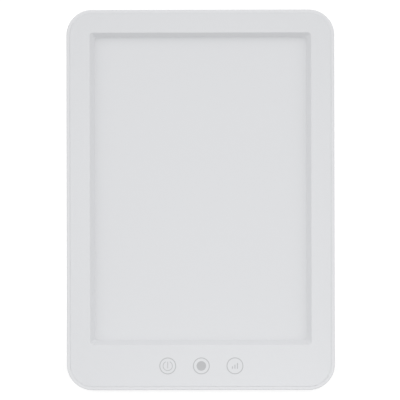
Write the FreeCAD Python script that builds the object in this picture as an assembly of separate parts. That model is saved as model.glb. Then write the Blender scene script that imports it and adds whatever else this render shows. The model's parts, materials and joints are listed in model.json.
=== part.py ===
import FreeCAD, Part
import math
import os

# Light therapy panel lamp: a slim moulded housing, a wide diffusing window with three touch marks
# below it, and a leg that folds out of the back. All sizes are in millimetres.
# Each piece is drawn with the lamp upright: x to the right, y from the front face to the back, and
# z up from the bottom edge. At the end the lamp is leaned back, set on the table and centred.

Vector = FreeCAD.Vector

# Outer body
body_width = 162.0
body_height = 230.0
body_depth = 20.0
corner_radius = 15.5
back_edge_radius = 6.0
inner_edge_bevel = 3.0
side_wall = 2.15
back_wall = 2.2
rim_setback = 0.35
rim_edge_bevel = 0.7
rim_inner_bevel = 0.25

# Front bezel and its window
seam_gap = 0.06
bezel_thickness = 2.8
bezel_edge_bevel = 0.3
skirt_depth = 7.0
skirt_wall = 1.5
window_side_margin = 14.0
window_top_margin = 13.75
window_bottom_margin = 27.75
window_corner_radius = 1.8
lip_side = 2.7
lip_top = 2.6
lip_bottom = 2.2
lip_corner_radius = 1.0

# Optical stack, from the front to the back
diffuser_thickness = 2.0
diffuser_overlap = 3.0
locating_gap = 0.3
locating_rib = 1.2
film_thickness = 0.25
film_inset = 0.4
guide_gap = 0.1
guide_thickness = 3.0
reflector_thickness = 0.25
spreader_thickness = 1.0
insulator_thickness = 0.2
foam_thickness = 0.4
foam_width = 4.0
stack_gap = 0.05

# Light strips along the two long edges
led_count = 20
led_end_margin = 5.0
led_length = 3.0
led_height = 1.2
led_width = 2.2
led_gap = 0.15
strip_thickness = 0.4
strip_width = 2.8
strip_end_gap = 1.0
frame_clearance = 0.25
frame_side_wall = 3.0
frame_end_wall = 1.2

# Cover screws and their posts
screw_side = 66.0
screw_bottom = 11.0
screw_top_margin = 9.0
post_radius = 2.8
post_end = 12.0
boss_radius = 3.6
screw_radius = 1.2
screw_clearance = 0.2
screw_head_radius = 2.3
screw_head_height = 1.6
screw_head_sink = 1.4
screw_tip = 5.0

# Ribs and vents of the back wall
rib_thickness = 1.4
rib_edge_margin = 31.0
rib_low = 22.0
rib_top_margin = 24.0
rib_board_gap = 4.0
cross_rib_gap = 10.0
vent_count = 11
vent_pitch = 6.0
vent_width = 2.2
vent_length = 24.0
vent_bevel = 0.6
vent_top_margin = 52.0
screen_margin = 4.0
screen_thickness = 0.3

# Leg and hinge
lean_deg = 15.0
open_deg = 27.0
hinge_top_margin = 98.0
barrel_radius = 3.0
barrel_clearance = 0.3
hinge_setback = 0.2
pin_radius = 1.0
pin_clearance = 0.05
pin_seat = 3.4
leg_half_top = 27.5
leg_half_foot = 22.0
leg_shoulder = 6.0
leg_thickness = 3.8
leg_setback = 0.1
leg_floor_gap = 0.3
leg_side_gap = 0.6
leg_skin = 1.6
leg_edge_wall = 2.2
leg_rib = 1.4
leg_rib_count = 3
leg_edge_radius = 1.2
leg_pocket_below_hinge = 9.0
leg_pocket_above_foot = 14.0
recess_wall = 1.8
heel_length = 7.0
heel_half_width = 20.0
heel_gap = 0.4
stop_gap = 0.1
hinge_boss_radius = 3.0

# Rubber feet
foot_stand_proud = 0.3
foot_sink = 1.0
foot_length = 26.0
foot_edge_margin = 25.0
foot_front = 0.5
foot_back = 3.2
foot_backing = 9.0
pad_height = 7.0
tongue_depth = 4.0
tongue_thickness = 1.8
tongue_half_width = 17.0

# Driver board and its parts
board_edge_margin = 10.0
board_width = 34.0
board_bottom = 16.5
board_height = 101.5
board_gap = 1.6
board_thickness = 1.2
board_screw_inset = 4.0
board_low_screw = 27.0
board_screw_head = 1.0
board_screw_head_radius = 2.0
board_screw_radius = 0.9
board_boss_radius = 2.5
boss_bore_wall = 0.6
notch_half = 1.0
capacitor_radius = 2.45
capacitor_length = 11.0
capacitor_inset = 10.0
capacitor_pitch = 7.5
capacitor_rise = 34.0
inductor_side = 10.0
inductor_height = 4.4
inductor_inset = 15.0
inductor_rise = 60.0
chip_side = 6.0
chip_height = 1.6
chip_insets = (27.0, 27.0, 10.0)
chip_rises = (46.0, 60.0, 80.0)
jack_inset = 11.0
jack_z = 30.0
jack_side = 9.0
jack_nose_radius = 4.1
jack_bore_radius = 2.9
jack_pin_radius = 1.0
jack_pin_bevel = 0.4
jack_gap = 0.45
jack_wall = 1.0
jack_setback = 0.5
jack_pin_setback = 1.2
port_gap = 0.2
port_dish_radius = 8.0
port_dish_depth = 0.7

# Touch board behind the marks
touch_pitch = 20.3
touch_height = 14.6
touch_pad_side = 7.0
touch_board_half = 38.0
touch_board_bottom = 8.0
touch_board_top = 22.0
touch_board_front = 5.0
touch_board_thickness = 1.2
touch_screw_x = 34.5
touch_post_radius = 2.2
touch_chip_side = 5.0
touch_chip_height = 0.9
touch_chip_inset = 10.0
ribbon_width = 4.5
ribbon_thickness = 0.3
ribbon_drop = 0.55
ribbon_plug = 26.0
ribbon_bend = 31.0
socket_length = 4.0
socket_inset = 3.0
socket_height = 1.2
lead_width = 2.4
lead_thickness = 0.6
lead_drop = 1.2
lead_inset = 10.0
lead_socket_length = 6.0
lead_turn_gap = 5.0
lead_edge_gap = 0.8

# Places that follow from the sizes above
half_width = body_width / 2
bezel_inset = side_wall + seam_gap
window_half_width = half_width - window_side_margin
window_top = body_height - window_top_margin
window_bottom = window_bottom_margin
floor_half_width = window_half_width - lip_side
floor_top = window_top - lip_top
floor_bottom = window_bottom + lip_bottom
diffuser_half_width = floor_half_width + diffuser_overlap
diffuser_top = floor_top + diffuser_overlap
diffuser_bottom = floor_bottom - diffuser_overlap
diffuser_back = bezel_thickness + diffuser_thickness
film_back = diffuser_back + film_thickness
guide_front = film_back + guide_gap
guide_back = guide_front + guide_thickness
guide_middle = guide_front + guide_thickness / 2
reflector_back = guide_back + reflector_thickness
spreader_front = reflector_back + stack_gap
spreader_back = spreader_front + spreader_thickness
guide_half_width = diffuser_half_width - film_inset
guide_bottom = diffuser_bottom + film_inset
guide_top = diffuser_top - film_inset
strip_inner_x = guide_half_width + led_gap + led_height
flange_inner_x = strip_inner_x + strip_thickness
spreader_half_width = flange_inner_x + spreader_thickness
frame_bottom = guide_bottom - frame_clearance - frame_end_wall
inner_back = body_depth - back_wall
screw_top = body_height - screw_top_margin
screw_seat = body_depth - screw_head_sink - screw_head_height
rib_side = half_width - rib_edge_margin
rib_high = body_height - rib_top_margin
vent_height = body_height - vent_top_margin
vent_reach = vent_length / 2
cross_rib_heights = (vent_height - vent_reach - cross_rib_gap, vent_height + vent_reach + cross_rib_gap)
hinge_y = body_depth - barrel_radius - hinge_setback
hinge_height = body_height - hinge_top_margin
foot_side = half_width - foot_edge_margin
leg_outer = body_depth - leg_setback
leg_inner = leg_outer - leg_thickness
recess_floor = leg_inner - leg_floor_gap
recess_half_top = leg_half_top + leg_side_gap
lean = math.radians(lean_deg)
low_centre_y = body_depth - back_edge_radius
contact_y = low_centre_y * math.cos(lean) + back_edge_radius * math.sin(lean)
body_low = back_edge_radius * math.cos(lean) - low_centre_y * math.sin(lean) - back_edge_radius
table_level = body_low - foot_stand_proud
foot_top = body_low + foot_sink
board_right = half_width - board_edge_margin
board_left = board_right - board_width
board_top = board_bottom + board_height
board_front = spreader_back + board_gap
board_back = board_front + board_thickness
boss_bore_end = inner_back - boss_bore_wall
touch_board_back = touch_board_front + touch_board_thickness
touch_screw_tip = bezel_thickness + boss_bore_wall
ribbon_z = touch_board_top - ribbon_drop - ribbon_width / 2
jack_x = board_right - jack_inset
jack_front = spreader_back + jack_gap
jack_back = body_depth - jack_setback
jack_pin_end = jack_back - jack_pin_setback
far = 400.0

X_AXIS = Vector(1, 0, 0)
Y_AXIS = Vector(0, 1, 0)
Z_AXIS = Vector(0, 0, 1)
ORIGIN = Vector(0, 0, 0)
HINGE = Vector(0, hinge_y, hinge_height)


def block(x_low, x_high, y_low, y_high, z_low, z_high):
    corner = Vector(x_low, y_low, z_low)
    return Part.makeBox(x_high - x_low, y_high - y_low, z_high - z_low, corner)


def rod_y(x, z, radius, y_low, y_high):
    return Part.makeCylinder(radius, y_high - y_low, Vector(x, y_low, z), Y_AXIS)


def rod_x(y, z, radius, x_low, x_high):
    return Part.makeCylinder(radius, x_high - x_low, Vector(x_low, y, z), X_AXIS)


def edges_along(shape, axis):
    return [edge for edge in shape.Edges if abs(edge.tangentAt(edge.FirstParameter).dot(axis)) > 0.999]


def edges_at_y(shape, y):
    found = []
    for edge in shape.Edges:
        box = edge.BoundBox
        if max(abs(box.YMin - y), abs(box.YMax - y)) < 1e-4:
            found.append(edge)
    return found


def rounded_plate(half, z_low, z_high, radius, y_low, y_high):
    """A plate across x from -half to half, with four round corners seen from the front."""
    plate = block(-half, half, y_low, y_high, z_low, z_high)
    return plate.makeFillet(radius, edges_along(plate, Y_AXIS))


def rounded_wire(half, z_low, z_high, radius, y):
    """The outline of a rounded plate, at one depth."""
    plate = rounded_plate(half, z_low, z_high, radius, y, y + 1.0)
    face = min(plate.Faces, key=lambda item: item.CenterOfMass.y)
    return face.OuterWire


def extrude_xz(points, y_low, y_high):
    """A prism along y on an outline of (x, z) points."""
    corners = [Vector(x, y_low, z) for x, z in points]
    outline = Part.makePolygon(corners + corners[:1])
    return Part.Face(outline).extrude(Vector(0, y_high - y_low, 0))


def from_table(shape):
    """Turn a shape drawn level with the table into the upright lamp's frame."""
    return shape.rotated(ORIGIN, X_AXIS, lean_deg)


def leg_prism(grow, z_low, z_high, y_low, y_high):
    """The leg's outline, grown all round, as a prism: straight at the hinge, then tapering down."""
    shoulder = hinge_height - leg_shoulder
    slope = (leg_half_top - leg_half_foot) / shoulder
    low_half = leg_half_foot + slope * z_low + grow
    top_half = leg_half_top + grow
    points = [(-low_half, z_low), (low_half, z_low), (top_half, shoulder), (top_half, z_high)]
    points += [(-top_half, z_high), (-top_half, shoulder)]
    return extrude_xz(points, y_low, y_high)


def fuse_all(shapes):
    first, rest = shapes[0], list(shapes[1:])
    return first.fuse(rest).removeSplitter()


def cut_all(shape, tools):
    return shape.cut(list(tools))


def body_outer():
    """The outside of the housing, with its round corners and its soft back edge."""
    outer = rounded_plate(half_width, 0, body_height, corner_radius, rim_setback, body_depth)
    outer = outer.makeFillet(back_edge_radius, edges_at_y(outer, body_depth))
    return outer.makeChamfer(rim_edge_bevel, edges_at_y(outer, rim_setback))


def body_cavity():
    radius = corner_radius - side_wall
    cavity = rounded_plate(half_width - side_wall, side_wall, body_height - side_wall, radius, -1.0, inner_back)
    return cavity.makeChamfer(inner_edge_bevel, edges_at_y(cavity, inner_back))


def screw_places():
    return [(side * screw_side, z) for side in (-1, 1) for z in (screw_bottom, screw_top)]


def board_screw_places():
    low = (board_right - board_screw_inset, board_bottom + board_low_screw)
    high = (board_left + board_screw_inset, board_top - board_screw_inset)
    return [low, high]


def leg_recess():
    """The space that the folded leg lies in, with the room its heel swings through."""
    recess = leg_prism(leg_side_gap, -foot_backing, hinge_height, recess_floor, body_depth + 1)
    groove = rod_x(hinge_y, hinge_height, barrel_radius + barrel_clearance, -recess_half_top, recess_half_top)
    swing = math.hypot(heel_length, leg_outer - hinge_y) + heel_gap
    room = rod_x(hinge_y, hinge_height, swing, -heel_half_width - heel_gap, heel_half_width + heel_gap)
    room = room.common(block(-far, far, 0, far, hinge_height, far))
    stop_plane = leg_inner - stop_gap
    behind = block(-far, far, stop_plane, far, -far, far).rotated(HINGE, X_AXIS, open_deg)
    over_barrel = block(-recess_half_top, recess_half_top, hinge_y, body_depth + 1,
                        hinge_height, hinge_height + barrel_radius + barrel_clearance)
    return [recess, groove, room.common(behind), over_barrel]


def leg_recess_walls(outer):
    """The moulded walls round the recess, drawn into the housing."""
    grow = leg_side_gap + recess_wall
    floor = leg_prism(grow, 0, hinge_height, recess_floor - recess_wall, body_depth)
    round_hinge = rod_x(hinge_y, hinge_height, barrel_radius + barrel_clearance + recess_wall,
                        -recess_half_top - recess_wall, recess_half_top + recess_wall)
    swing = math.hypot(heel_length, leg_outer - hinge_y) + heel_gap + recess_wall
    half = heel_half_width + heel_gap + recess_wall
    head = rod_x(hinge_y, hinge_height, swing, -half, half)
    head = head.common(block(-far, far, 0, far, hinge_height, far))
    stop_plane = leg_inner - stop_gap - recess_wall
    behind = block(-far, far, stop_plane, far, -far, far).rotated(HINGE, X_AXIS, open_deg)
    head = head.common(behind)
    seats = []
    for side in (-1, 1):
        inner = side * recess_half_top
        outer_x = side * (recess_half_top + pin_seat + recess_wall)
        seats.append(rod_x(hinge_y, hinge_height, hinge_boss_radius, min(inner, outer_x), max(inner, outer_x)))
    return [shape.common(outer) for shape in [floor, round_hinge, head] + seats]


def base_foot(side):
    """One rubber foot, level with the table, in the low back edge of the housing."""
    x_mid = side * foot_side
    half = foot_length / 2
    return from_table(block(x_mid - half, x_mid + half, contact_y - foot_front, contact_y + foot_back,
                            table_level, foot_top))


def vent_slots():
    """Upright slots with bevelled ends, evenly spaced across the back."""
    slots = []
    half = vent_width / 2
    low, high = vent_height - vent_reach, vent_height + vent_reach
    for index in range(vent_count):
        x = (index - (vent_count - 1) / 2) * vent_pitch
        points = [(x - half, low + vent_bevel), (x - half + vent_bevel, low), (x + half - vent_bevel, low),
                  (x + half, low + vent_bevel), (x + half, high - vent_bevel), (x + half - vent_bevel, high),
                  (x - half + vent_bevel, high), (x - half, high - vent_bevel)]
        slots.append(extrude_xz(points, inner_back - 1, body_depth + 1))
    return slots


def rib_blocks():
    """The ribs that press the light stack forward, clear of the boards and the vents."""
    front = spreader_back + foam_thickness
    half = rib_thickness / 2
    blocks = [block(-rib_side - half, -rib_side + half, front, inner_back, rib_low, rib_high)]
    blocks.append(block(rib_side - half, rib_side + half, front, inner_back, board_top + rib_board_gap, rib_high))
    for z in cross_rib_heights:
        blocks.append(block(-rib_side, rib_side, front, inner_back, z - half, z + half))
    return blocks


def rim_inner_edges(shell):
    """The inner loop of edges at the rim's front."""
    limit = half_width - side_wall + 0.001
    return [edge for edge in edges_at_y(shell, rim_setback)
            if max(edge.BoundBox.XMax, -edge.BoundBox.XMin) < limit
            and edge.BoundBox.ZMin > side_wall - 0.001 and edge.BoundBox.ZMax < body_height - side_wall + 0.001]


def rear_housing():
    outer = body_outer()
    shell = outer.cut(body_cavity())
    shell = shell.makeChamfer(rim_inner_bevel, rim_inner_edges(shell))
    additions = leg_recess_walls(outer) + rib_blocks()
    for x, z in screw_places():
        additions.append(rod_y(x, z, boss_radius, post_end, body_depth - 1).common(outer))
    for x, z in board_screw_places():
        additions.append(rod_y(x, z, board_boss_radius, board_back, inner_back))
    for side in (-1, 1):
        x_mid = side * foot_side
        half = foot_length / 2 + side_wall
        backing = block(x_mid - half, x_mid + half, body_depth - foot_backing, body_depth, 0, foot_backing / 2)
        additions.append(backing.common(outer))
    shell = shell.fuse(additions)
    cuts = leg_recess() + vent_slots()
    for side in (-1, 1):
        cuts.append(base_foot(side))
    for x, z in screw_places():
        cuts.append(rod_y(x, z, screw_radius + screw_clearance, post_end - 1, body_depth))
        cuts.append(rod_y(x, z, screw_head_radius + screw_clearance, screw_seat, body_depth + 1))
    for x, z in board_screw_places():
        cuts.append(rod_y(x, z, board_screw_radius, board_back - 1, boss_bore_end))
    cuts.append(rod_y(jack_x, jack_z, jack_nose_radius + port_gap, inner_back - 1, body_depth + 1))
    cuts.append(rod_y(jack_x, jack_z, port_dish_radius, body_depth - port_dish_depth, body_depth + 1))
    reach = recess_half_top + pin_seat
    cuts.append(rod_x(hinge_y, hinge_height, pin_radius, -reach, reach))
    return cut_all(shell, cuts).removeSplitter()


def front_bezel():
    inset = bezel_inset
    radius = corner_radius - inset
    body = rounded_plate(half_width - inset, inset, body_height - inset, radius, 0, skirt_depth)
    body = body.makeChamfer(bezel_edge_bevel, edges_at_y(body, 0))
    inner = inset + skirt_wall
    body = body.cut(rounded_plate(half_width - inner, inner, body_height - inner, radius - skirt_wall,
                                  bezel_thickness, skirt_depth + 1))
    ridge_inner = diffuser_half_width + locating_gap
    low, high = diffuser_bottom - locating_gap, diffuser_top + locating_gap
    wide = block(-ridge_inner - locating_rib, ridge_inner + locating_rib, bezel_thickness,
                 diffuser_back - stack_gap, low - locating_rib, high + locating_rib)
    ridge = wide.cut(block(-ridge_inner, ridge_inner, 0, far, low, high))
    posts = [rod_y(x, z, post_radius, bezel_thickness, post_end) for x, z in screw_places()]
    posts += [rod_y(side * touch_screw_x, touch_height, touch_post_radius, bezel_thickness, touch_board_front)
              for side in (-1, 1)]
    body = body.fuse([ridge] + posts)
    front = rounded_wire(window_half_width, window_bottom, window_top, window_corner_radius, 0)
    back = rounded_wire(floor_half_width, floor_bottom, floor_top, lip_corner_radius, bezel_thickness)
    cuts = [Part.makeLoft([front, back], True, True)]
    cuts.append(rounded_plate(window_half_width, window_bottom, window_top, window_corner_radius, -1, 0))
    cuts.append(rounded_plate(floor_half_width, floor_bottom, floor_top, lip_corner_radius,
                              bezel_thickness, diffuser_back))
    for x, z in screw_places():
        cuts.append(rod_y(x, z, screw_radius, screw_tip, post_end + 1))
    for side in (-1, 1):
        cuts.append(rod_y(side * touch_screw_x, touch_height, board_screw_radius, touch_screw_tip,
                          touch_board_front + 1))
    return cut_all(body, cuts).removeSplitter()


def sheet(half, z_low, z_high, y_low, y_high):
    return block(-half, half, y_low, y_high, z_low, z_high)


def heat_spreader():
    """A folded tray: a flat back and two flanges that carry the light strips."""
    base = sheet(spreader_half_width, guide_bottom, guide_top, spreader_front, spreader_back)
    flanges = []
    for side in (-1, 1):
        low = min(side * flange_inner_x, side * spreader_half_width)
        flanges.append(block(low, low + spreader_thickness, guide_front, spreader_back, guide_bottom, guide_top))
    return fuse_all([base] + flanges)


def optic_frame():
    """The frame that keeps the stack square round its edges."""
    inner = spreader_half_width + frame_clearance
    low, high = guide_bottom - frame_clearance, guide_top + frame_clearance
    outer = sheet(inner + frame_side_wall, frame_bottom, high + frame_end_wall, diffuser_back, spreader_back)
    inside = sheet(inner, low, high, 0, far)
    return outer.cut([inside] + [rod_y(x, z, post_radius + 0.2, 0, far) for x, z in screw_places()])


def light_strip(side):
    low = min(side * strip_inner_x, side * flange_inner_x)
    half = strip_width / 2
    return block(low, low + strip_thickness, guide_middle - half, guide_middle + half,
                 guide_bottom + strip_end_gap, guide_top - strip_end_gap)


def light_chips(side):
    chips = []
    near = guide_half_width + led_gap
    low = min(side * near, side * (near + led_height))
    pitch = (guide_top - guide_bottom - 2 * led_end_margin) / (led_count - 1)
    for index in range(led_count):
        z = guide_bottom + led_end_margin + index * pitch
        chips.append(block(low, low + led_height, guide_middle - led_width / 2, guide_middle + led_width / 2,
                           z - led_length / 2, z + led_length / 2))
    return Part.makeCompound(chips)


def foam_strips():
    """Foam on the ribs' front edges, in lengths that don't meet."""
    strips = []
    half = foam_width / 2
    y_low, y_high = spreader_back, spreader_back + foam_thickness
    strips.append(block(-rib_side - half, -rib_side + half, y_low, y_high, guide_bottom, rib_high))
    strips.append(block(rib_side - half, rib_side + half, y_low, y_high, board_top + rib_board_gap, rib_high))
    reach = rib_side - foam_width
    for z in cross_rib_heights:
        strips.append(block(-reach, reach, y_low, y_high, z - half, z + half))
    return Part.makeCompound(strips)


def insulator_sheet():
    y_low = spreader_back
    return block(board_left - 1, spreader_half_width - 1, y_low, y_low + insulator_thickness,
                 guide_bottom + 1, board_top + 2)


def driver_board():
    """The board, open round the power inlet and notched round its screws."""
    board = block(board_left, board_right, board_front, board_back, board_bottom, board_top)
    half = jack_side / 2
    cuts = [block(jack_x - half, jack_x + half, 0, far, jack_z - half, jack_z + half)]
    for x, z in board_screw_places():
        cuts.append(block(x - notch_half, x + notch_half, 0, far, z - notch_half, z + notch_half))
    return cut_all(board, cuts)


def input_capacitors():
    cans = []
    for index in range(2):
        x = board_left + capacitor_inset + index * capacitor_pitch
        foot = Vector(x, board_back + capacitor_radius, board_bottom + capacitor_rise)
        cans.append(Part.makeCylinder(capacitor_radius, capacitor_length, foot, Z_AXIS))
    return Part.makeCompound(cans)


def power_inductor():
    half = inductor_side / 2
    x, z = board_left + inductor_inset, board_bottom + inductor_rise
    return block(x - half, x + half, board_back, board_back + inductor_height, z - half, z + half)


def driver_chips():
    chips = []
    half = chip_side / 2
    for inset, rise in zip(chip_insets, chip_rises):
        x, z = board_left + inset, board_bottom + rise
        chips.append(block(x - half, x + half, board_back, board_back + chip_height, z - half, z + half))
    return Part.makeCompound(chips)


def lead_height():
    """How high the flat lead runs, under the frame of the light stack."""
    return frame_bottom - lead_drop - lead_width / 2


def ribbon_sockets():
    """Flat sockets: one on each board for the ribbon, and one that takes the flat lead."""
    half = ribbon_width / 2
    low, high = ribbon_z - half, ribbon_z + half
    start = board_left + socket_inset
    on_driver = block(start, start + socket_length, board_back, board_back + socket_height, low, high)
    on_touch = block(ribbon_plug - socket_length, ribbon_plug, touch_board_back,
                     touch_board_back + socket_height, low, high)
    start = board_left + lead_inset
    z_mid = lead_height()
    on_leads = block(start, start + lead_socket_length, board_back, board_back + 2 * socket_height,
                     z_mid - lead_width / 2, z_mid + lead_width / 2)
    return Part.makeCompound([on_driver, on_touch, on_leads])


def flat_cable(route, thickness, z_mid, width):
    """A flat cable on edge: the route is its front line as (x, y) points."""
    back = [(x, y + thickness) for x, y in reversed(route)]
    corners = [Vector(x, y, z_mid - width / 2) for x, y in route + back]
    outline = Part.makePolygon(corners + corners[:1])
    return Part.Face(outline).extrude(Vector(0, 0, width))


def touch_ribbon():
    """The flat cable from the touch board's socket to the driver board's."""
    rise = (socket_height - ribbon_thickness) / 2
    y_start, y_end = touch_board_back + rise, board_back + rise
    route = [(ribbon_plug, y_start), (ribbon_bend, y_start), (board_left - 1, y_end),
             (board_left + socket_inset, y_end)]
    return flat_cable(route, ribbon_thickness, ribbon_z, ribbon_width)


def light_leads():
    """The flat lead from the left light strip, under the stack, to the driver board."""
    y_end = board_back + socket_height - lead_thickness / 2
    route = [(-flange_inner_x, guide_middle), (board_left - lead_turn_gap, guide_middle),
             (board_left - lead_edge_gap, y_end), (board_left + lead_inset, y_end)]
    return flat_cable(route, lead_thickness, lead_height(), lead_width)


def dc_jack():
    half = jack_side / 2
    body = block(jack_x - half, jack_x + half, jack_front, inner_back, jack_z - half, jack_z + half)
    nose = rod_y(jack_x, jack_z, jack_nose_radius, inner_back, jack_back)
    body = fuse_all([body, nose])
    bore = rod_y(jack_x, jack_z, jack_bore_radius, jack_front + jack_wall, jack_back + 1)
    pin_hole = rod_y(jack_x, jack_z, jack_pin_radius, 0, jack_front + jack_wall + 1)
    return cut_all(body, [bore, pin_hole])


def dc_jack_pin():
    pin = rod_y(jack_x, jack_z, jack_pin_radius, jack_front, jack_pin_end)
    return pin.makeChamfer(jack_pin_bevel, edges_at_y(pin, jack_pin_end))


def touch_board():
    board = block(-touch_board_half, touch_board_half, touch_board_front, touch_board_back,
                  touch_board_bottom, touch_board_top)
    notches = []
    for side in (-1, 1):
        x = side * touch_screw_x
        notches.append(block(x - notch_half, x + notch_half, 0, far, touch_height - notch_half,
                             touch_height + notch_half))
    return cut_all(board, notches)


def touch_pads():
    """Squares of conducting foam between the touch board and the back of each mark."""
    half = touch_pad_side / 2
    pads = [block(step * touch_pitch - half, step * touch_pitch + half, bezel_thickness, touch_board_front,
                  touch_height - half, touch_height + half) for step in (-1, 0, 1)]
    return Part.makeCompound(pads)


def touch_chip():
    half = touch_chip_side / 2
    return block(-touch_chip_inset - half, -touch_chip_inset + half, touch_board_back,
                 touch_board_back + touch_chip_height, touch_height - half, touch_height + half)


def small_screw(x, z, head_low, head_high, tip):
    head = rod_y(x, z, board_screw_head_radius, min(head_low, head_high), max(head_low, head_high))
    shank = rod_y(x, z, board_screw_radius, min(head_low, tip), max(head_low, tip))
    return fuse_all([head, shank])


def board_screws():
    screws = [small_screw(x, z, board_front, board_front - board_screw_head, boss_bore_end)
              for x, z in board_screw_places()]
    screws += [small_screw(side * touch_screw_x, touch_height, touch_board_back,
                           touch_board_back + board_screw_head, touch_screw_tip) for side in (-1, 1)]
    return Part.makeCompound(screws)


def cover_screws():
    """Four flat-topped screws, sunk in the back wall."""
    screws = []
    for x, z in screw_places():
        head = rod_y(x, z, screw_head_radius, screw_seat, screw_seat + screw_head_height)
        screws.append(fuse_all([head, rod_y(x, z, screw_radius, screw_tip, screw_seat)]))
    return Part.makeCompound(screws)


def vent_screen():
    half = (vent_count - 1) / 2 * vent_pitch + screen_margin
    return block(-half, half, inner_back - screen_thickness, inner_back,
                 vent_height - vent_reach - screen_margin, vent_height + vent_reach + screen_margin)


def table_below(level):
    """Everything under a plane level with the table."""
    return from_table(block(-far, far, -far, far, -far, level))


def opened(shape):
    return shape.rotated(HINGE, X_AXIS, open_deg)


def leg_pockets():
    """The hollows between the ribs on the leg's inner side."""
    z_low, z_high = leg_pocket_above_foot, hinge_height - leg_pocket_below_hinge
    hollow = leg_prism(-leg_edge_wall, z_low, z_high + leg_shoulder + leg_pocket_below_hinge, leg_inner - 1,
                       leg_outer - leg_skin)
    hollow = hollow.common(block(-far, far, 0, far, z_low, z_high))
    ribs = [block(-leg_rib / 2, leg_rib / 2, 0, far, z_low, z_high)]
    step = (z_high - z_low) / (leg_rib_count + 1)
    for index in range(leg_rib_count):
        z = z_low + (index + 1) * step
        ribs.append(block(-far, far, 0, far, z - leg_rib / 2, z + leg_rib / 2))
    return hollow.cut(ribs)


def folded_leg_solid():
    """The leg's plate, over-long at the foot, with round outer edges down its two sides."""
    plate = leg_prism(0, -foot_backing, hinge_height, leg_inner, leg_outer)
    sides = [edge for edge in edges_at_y(plate, leg_outer) if edge.BoundBox.ZLength > leg_shoulder / 2]
    return plate.makeFillet(leg_edge_radius, sides)


def stand_leg():
    """The leg: a ribbed plate, its hinge barrel and the heel that meets the stop."""
    plate = folded_leg_solid()
    barrel = rod_x(hinge_y, hinge_height, barrel_radius, -leg_half_top, leg_half_top)
    heel = block(-heel_half_width, heel_half_width, leg_inner, leg_outer, hinge_height,
                 hinge_height + heel_length)
    heel_top = [edge for edge in heel.Edges if edge.BoundBox.ZMin > hinge_height + heel_length - 1e-4
                and edge.BoundBox.YMin > leg_outer - 1e-4]
    heel = heel.makeFillet(1.0, heel_top)
    leg = opened(fuse_all([plate, barrel, heel]).cut(leg_pockets()))
    leg = leg.cut(table_below(table_level + pad_height))
    low = table_level + pad_height - tongue_depth
    middle = (leg_inner + leg_outer) / 2
    tongue = opened(block(-tongue_half_width, tongue_half_width, middle - tongue_thickness / 2,
                          middle + tongue_thickness / 2, -foot_backing, leg_pocket_above_foot))
    tongue = tongue.cut(table_below(low))
    leg = fuse_all([leg, tongue])
    return leg.cut(rod_x(hinge_y, hinge_height, pin_radius + pin_clearance, -far, far))


def stand_foot_pad():
    """The rubber shoe on the leg's end, cut level with the table."""
    shoe = folded_leg_solid()
    shoe = opened(shoe).cut(table_below(table_level))
    shoe = shoe.common(table_below(table_level + pad_height))
    return shoe.cut(stand_leg())


def hinge_pin():
    reach = recess_half_top + pin_seat
    return rod_x(hinge_y, hinge_height, pin_radius, -reach, reach)


def all_pieces():
    return {
        "front_bezel": front_bezel(),
        "rear_housing": rear_housing(),
        "diffuser_panel": sheet(diffuser_half_width, diffuser_bottom, diffuser_top, bezel_thickness,
                                diffuser_back),
        "prism_film": sheet(guide_half_width, guide_bottom, guide_top, diffuser_back, film_back),
        "light_guide_plate": sheet(guide_half_width, guide_bottom, guide_top, guide_front, guide_back),
        "reflector_sheet": sheet(guide_half_width, guide_bottom, guide_top, guide_back, reflector_back),
        "heat_spreader": heat_spreader(),
        "optic_frame": optic_frame(),
        "light_strip_left": light_strip(-1),
        "light_strip_right": light_strip(1),
        "light_chips_left": light_chips(-1),
        "light_chips_right": light_chips(1),
        "foam_strips": foam_strips(),
        "insulator_sheet": insulator_sheet(),
        "driver_board": driver_board(),
        "input_capacitors": input_capacitors(),
        "power_inductor": power_inductor(),
        "driver_chips": driver_chips(),
        "ribbon_sockets": ribbon_sockets(),
        "touch_ribbon": touch_ribbon(),
        "light_leads": light_leads(),
        "dc_jack": dc_jack(),
        "dc_jack_pin": dc_jack_pin(),
        "touch_board": touch_board(),
        "touch_pads": touch_pads(),
        "touch_chip": touch_chip(),
        "board_screws": board_screws(),
        "cover_screws": cover_screws(),
        "vent_screen": vent_screen(),
        "stand_leg": stand_leg(),
        "stand_foot_pad": stand_foot_pad(),
        "hinge_pin": hinge_pin(),
        "base_foot_left": base_foot(-1),
        "base_foot_right": base_foot(1),
    }


def main():
    os.makedirs("parts", exist_ok=True)
    leaned = {name: shape.rotated(ORIGIN, X_AXIS, -lean_deg) for name, shape in all_pieces().items()}
    box = Part.makeCompound(list(leaned.values())).optimalBoundingBox(False, False)
    shift = Vector(-(box.XMin + box.XMax) / 2, -(box.YMin + box.YMax) / 2, -box.ZMin)
    hinge = Part.Vertex(HINGE).rotated(ORIGIN, X_AXIS, -lean_deg).translated(shift).Point
    print("box", round(box.XLength, 3), round(box.YLength, 3), round(box.ZLength, 3))
    print("hinge axis at", round(hinge.y, 4), round(hinge.z, 4), "table", round(table_level, 4), round(box.ZMin, 4))
    for name, shape in leaned.items():
        placed = shape.translated(shift)
        placed.exportStep("parts/" + name + ".step")
        print(name, "solids", len(placed.Solids), "valid", placed.isValid(), "volume", round(placed.Volume, 1))


main()
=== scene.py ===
"""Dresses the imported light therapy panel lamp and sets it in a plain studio.

Sizes are in millimetres in the upright drawing frame, which is the part's own: x to the right, y from the
front face to the back, z up from the bottom edge. A placement turns them into the leaned frame in metres.
"""

from __future__ import annotations

import json
import logging
import math
from dataclasses import astuple, dataclass, field
from enum import Enum
from typing import Callable, Iterable, Optional, Sequence, Union

import bmesh
import bpy
from mathutils import Euler, Matrix, Vector

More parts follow.
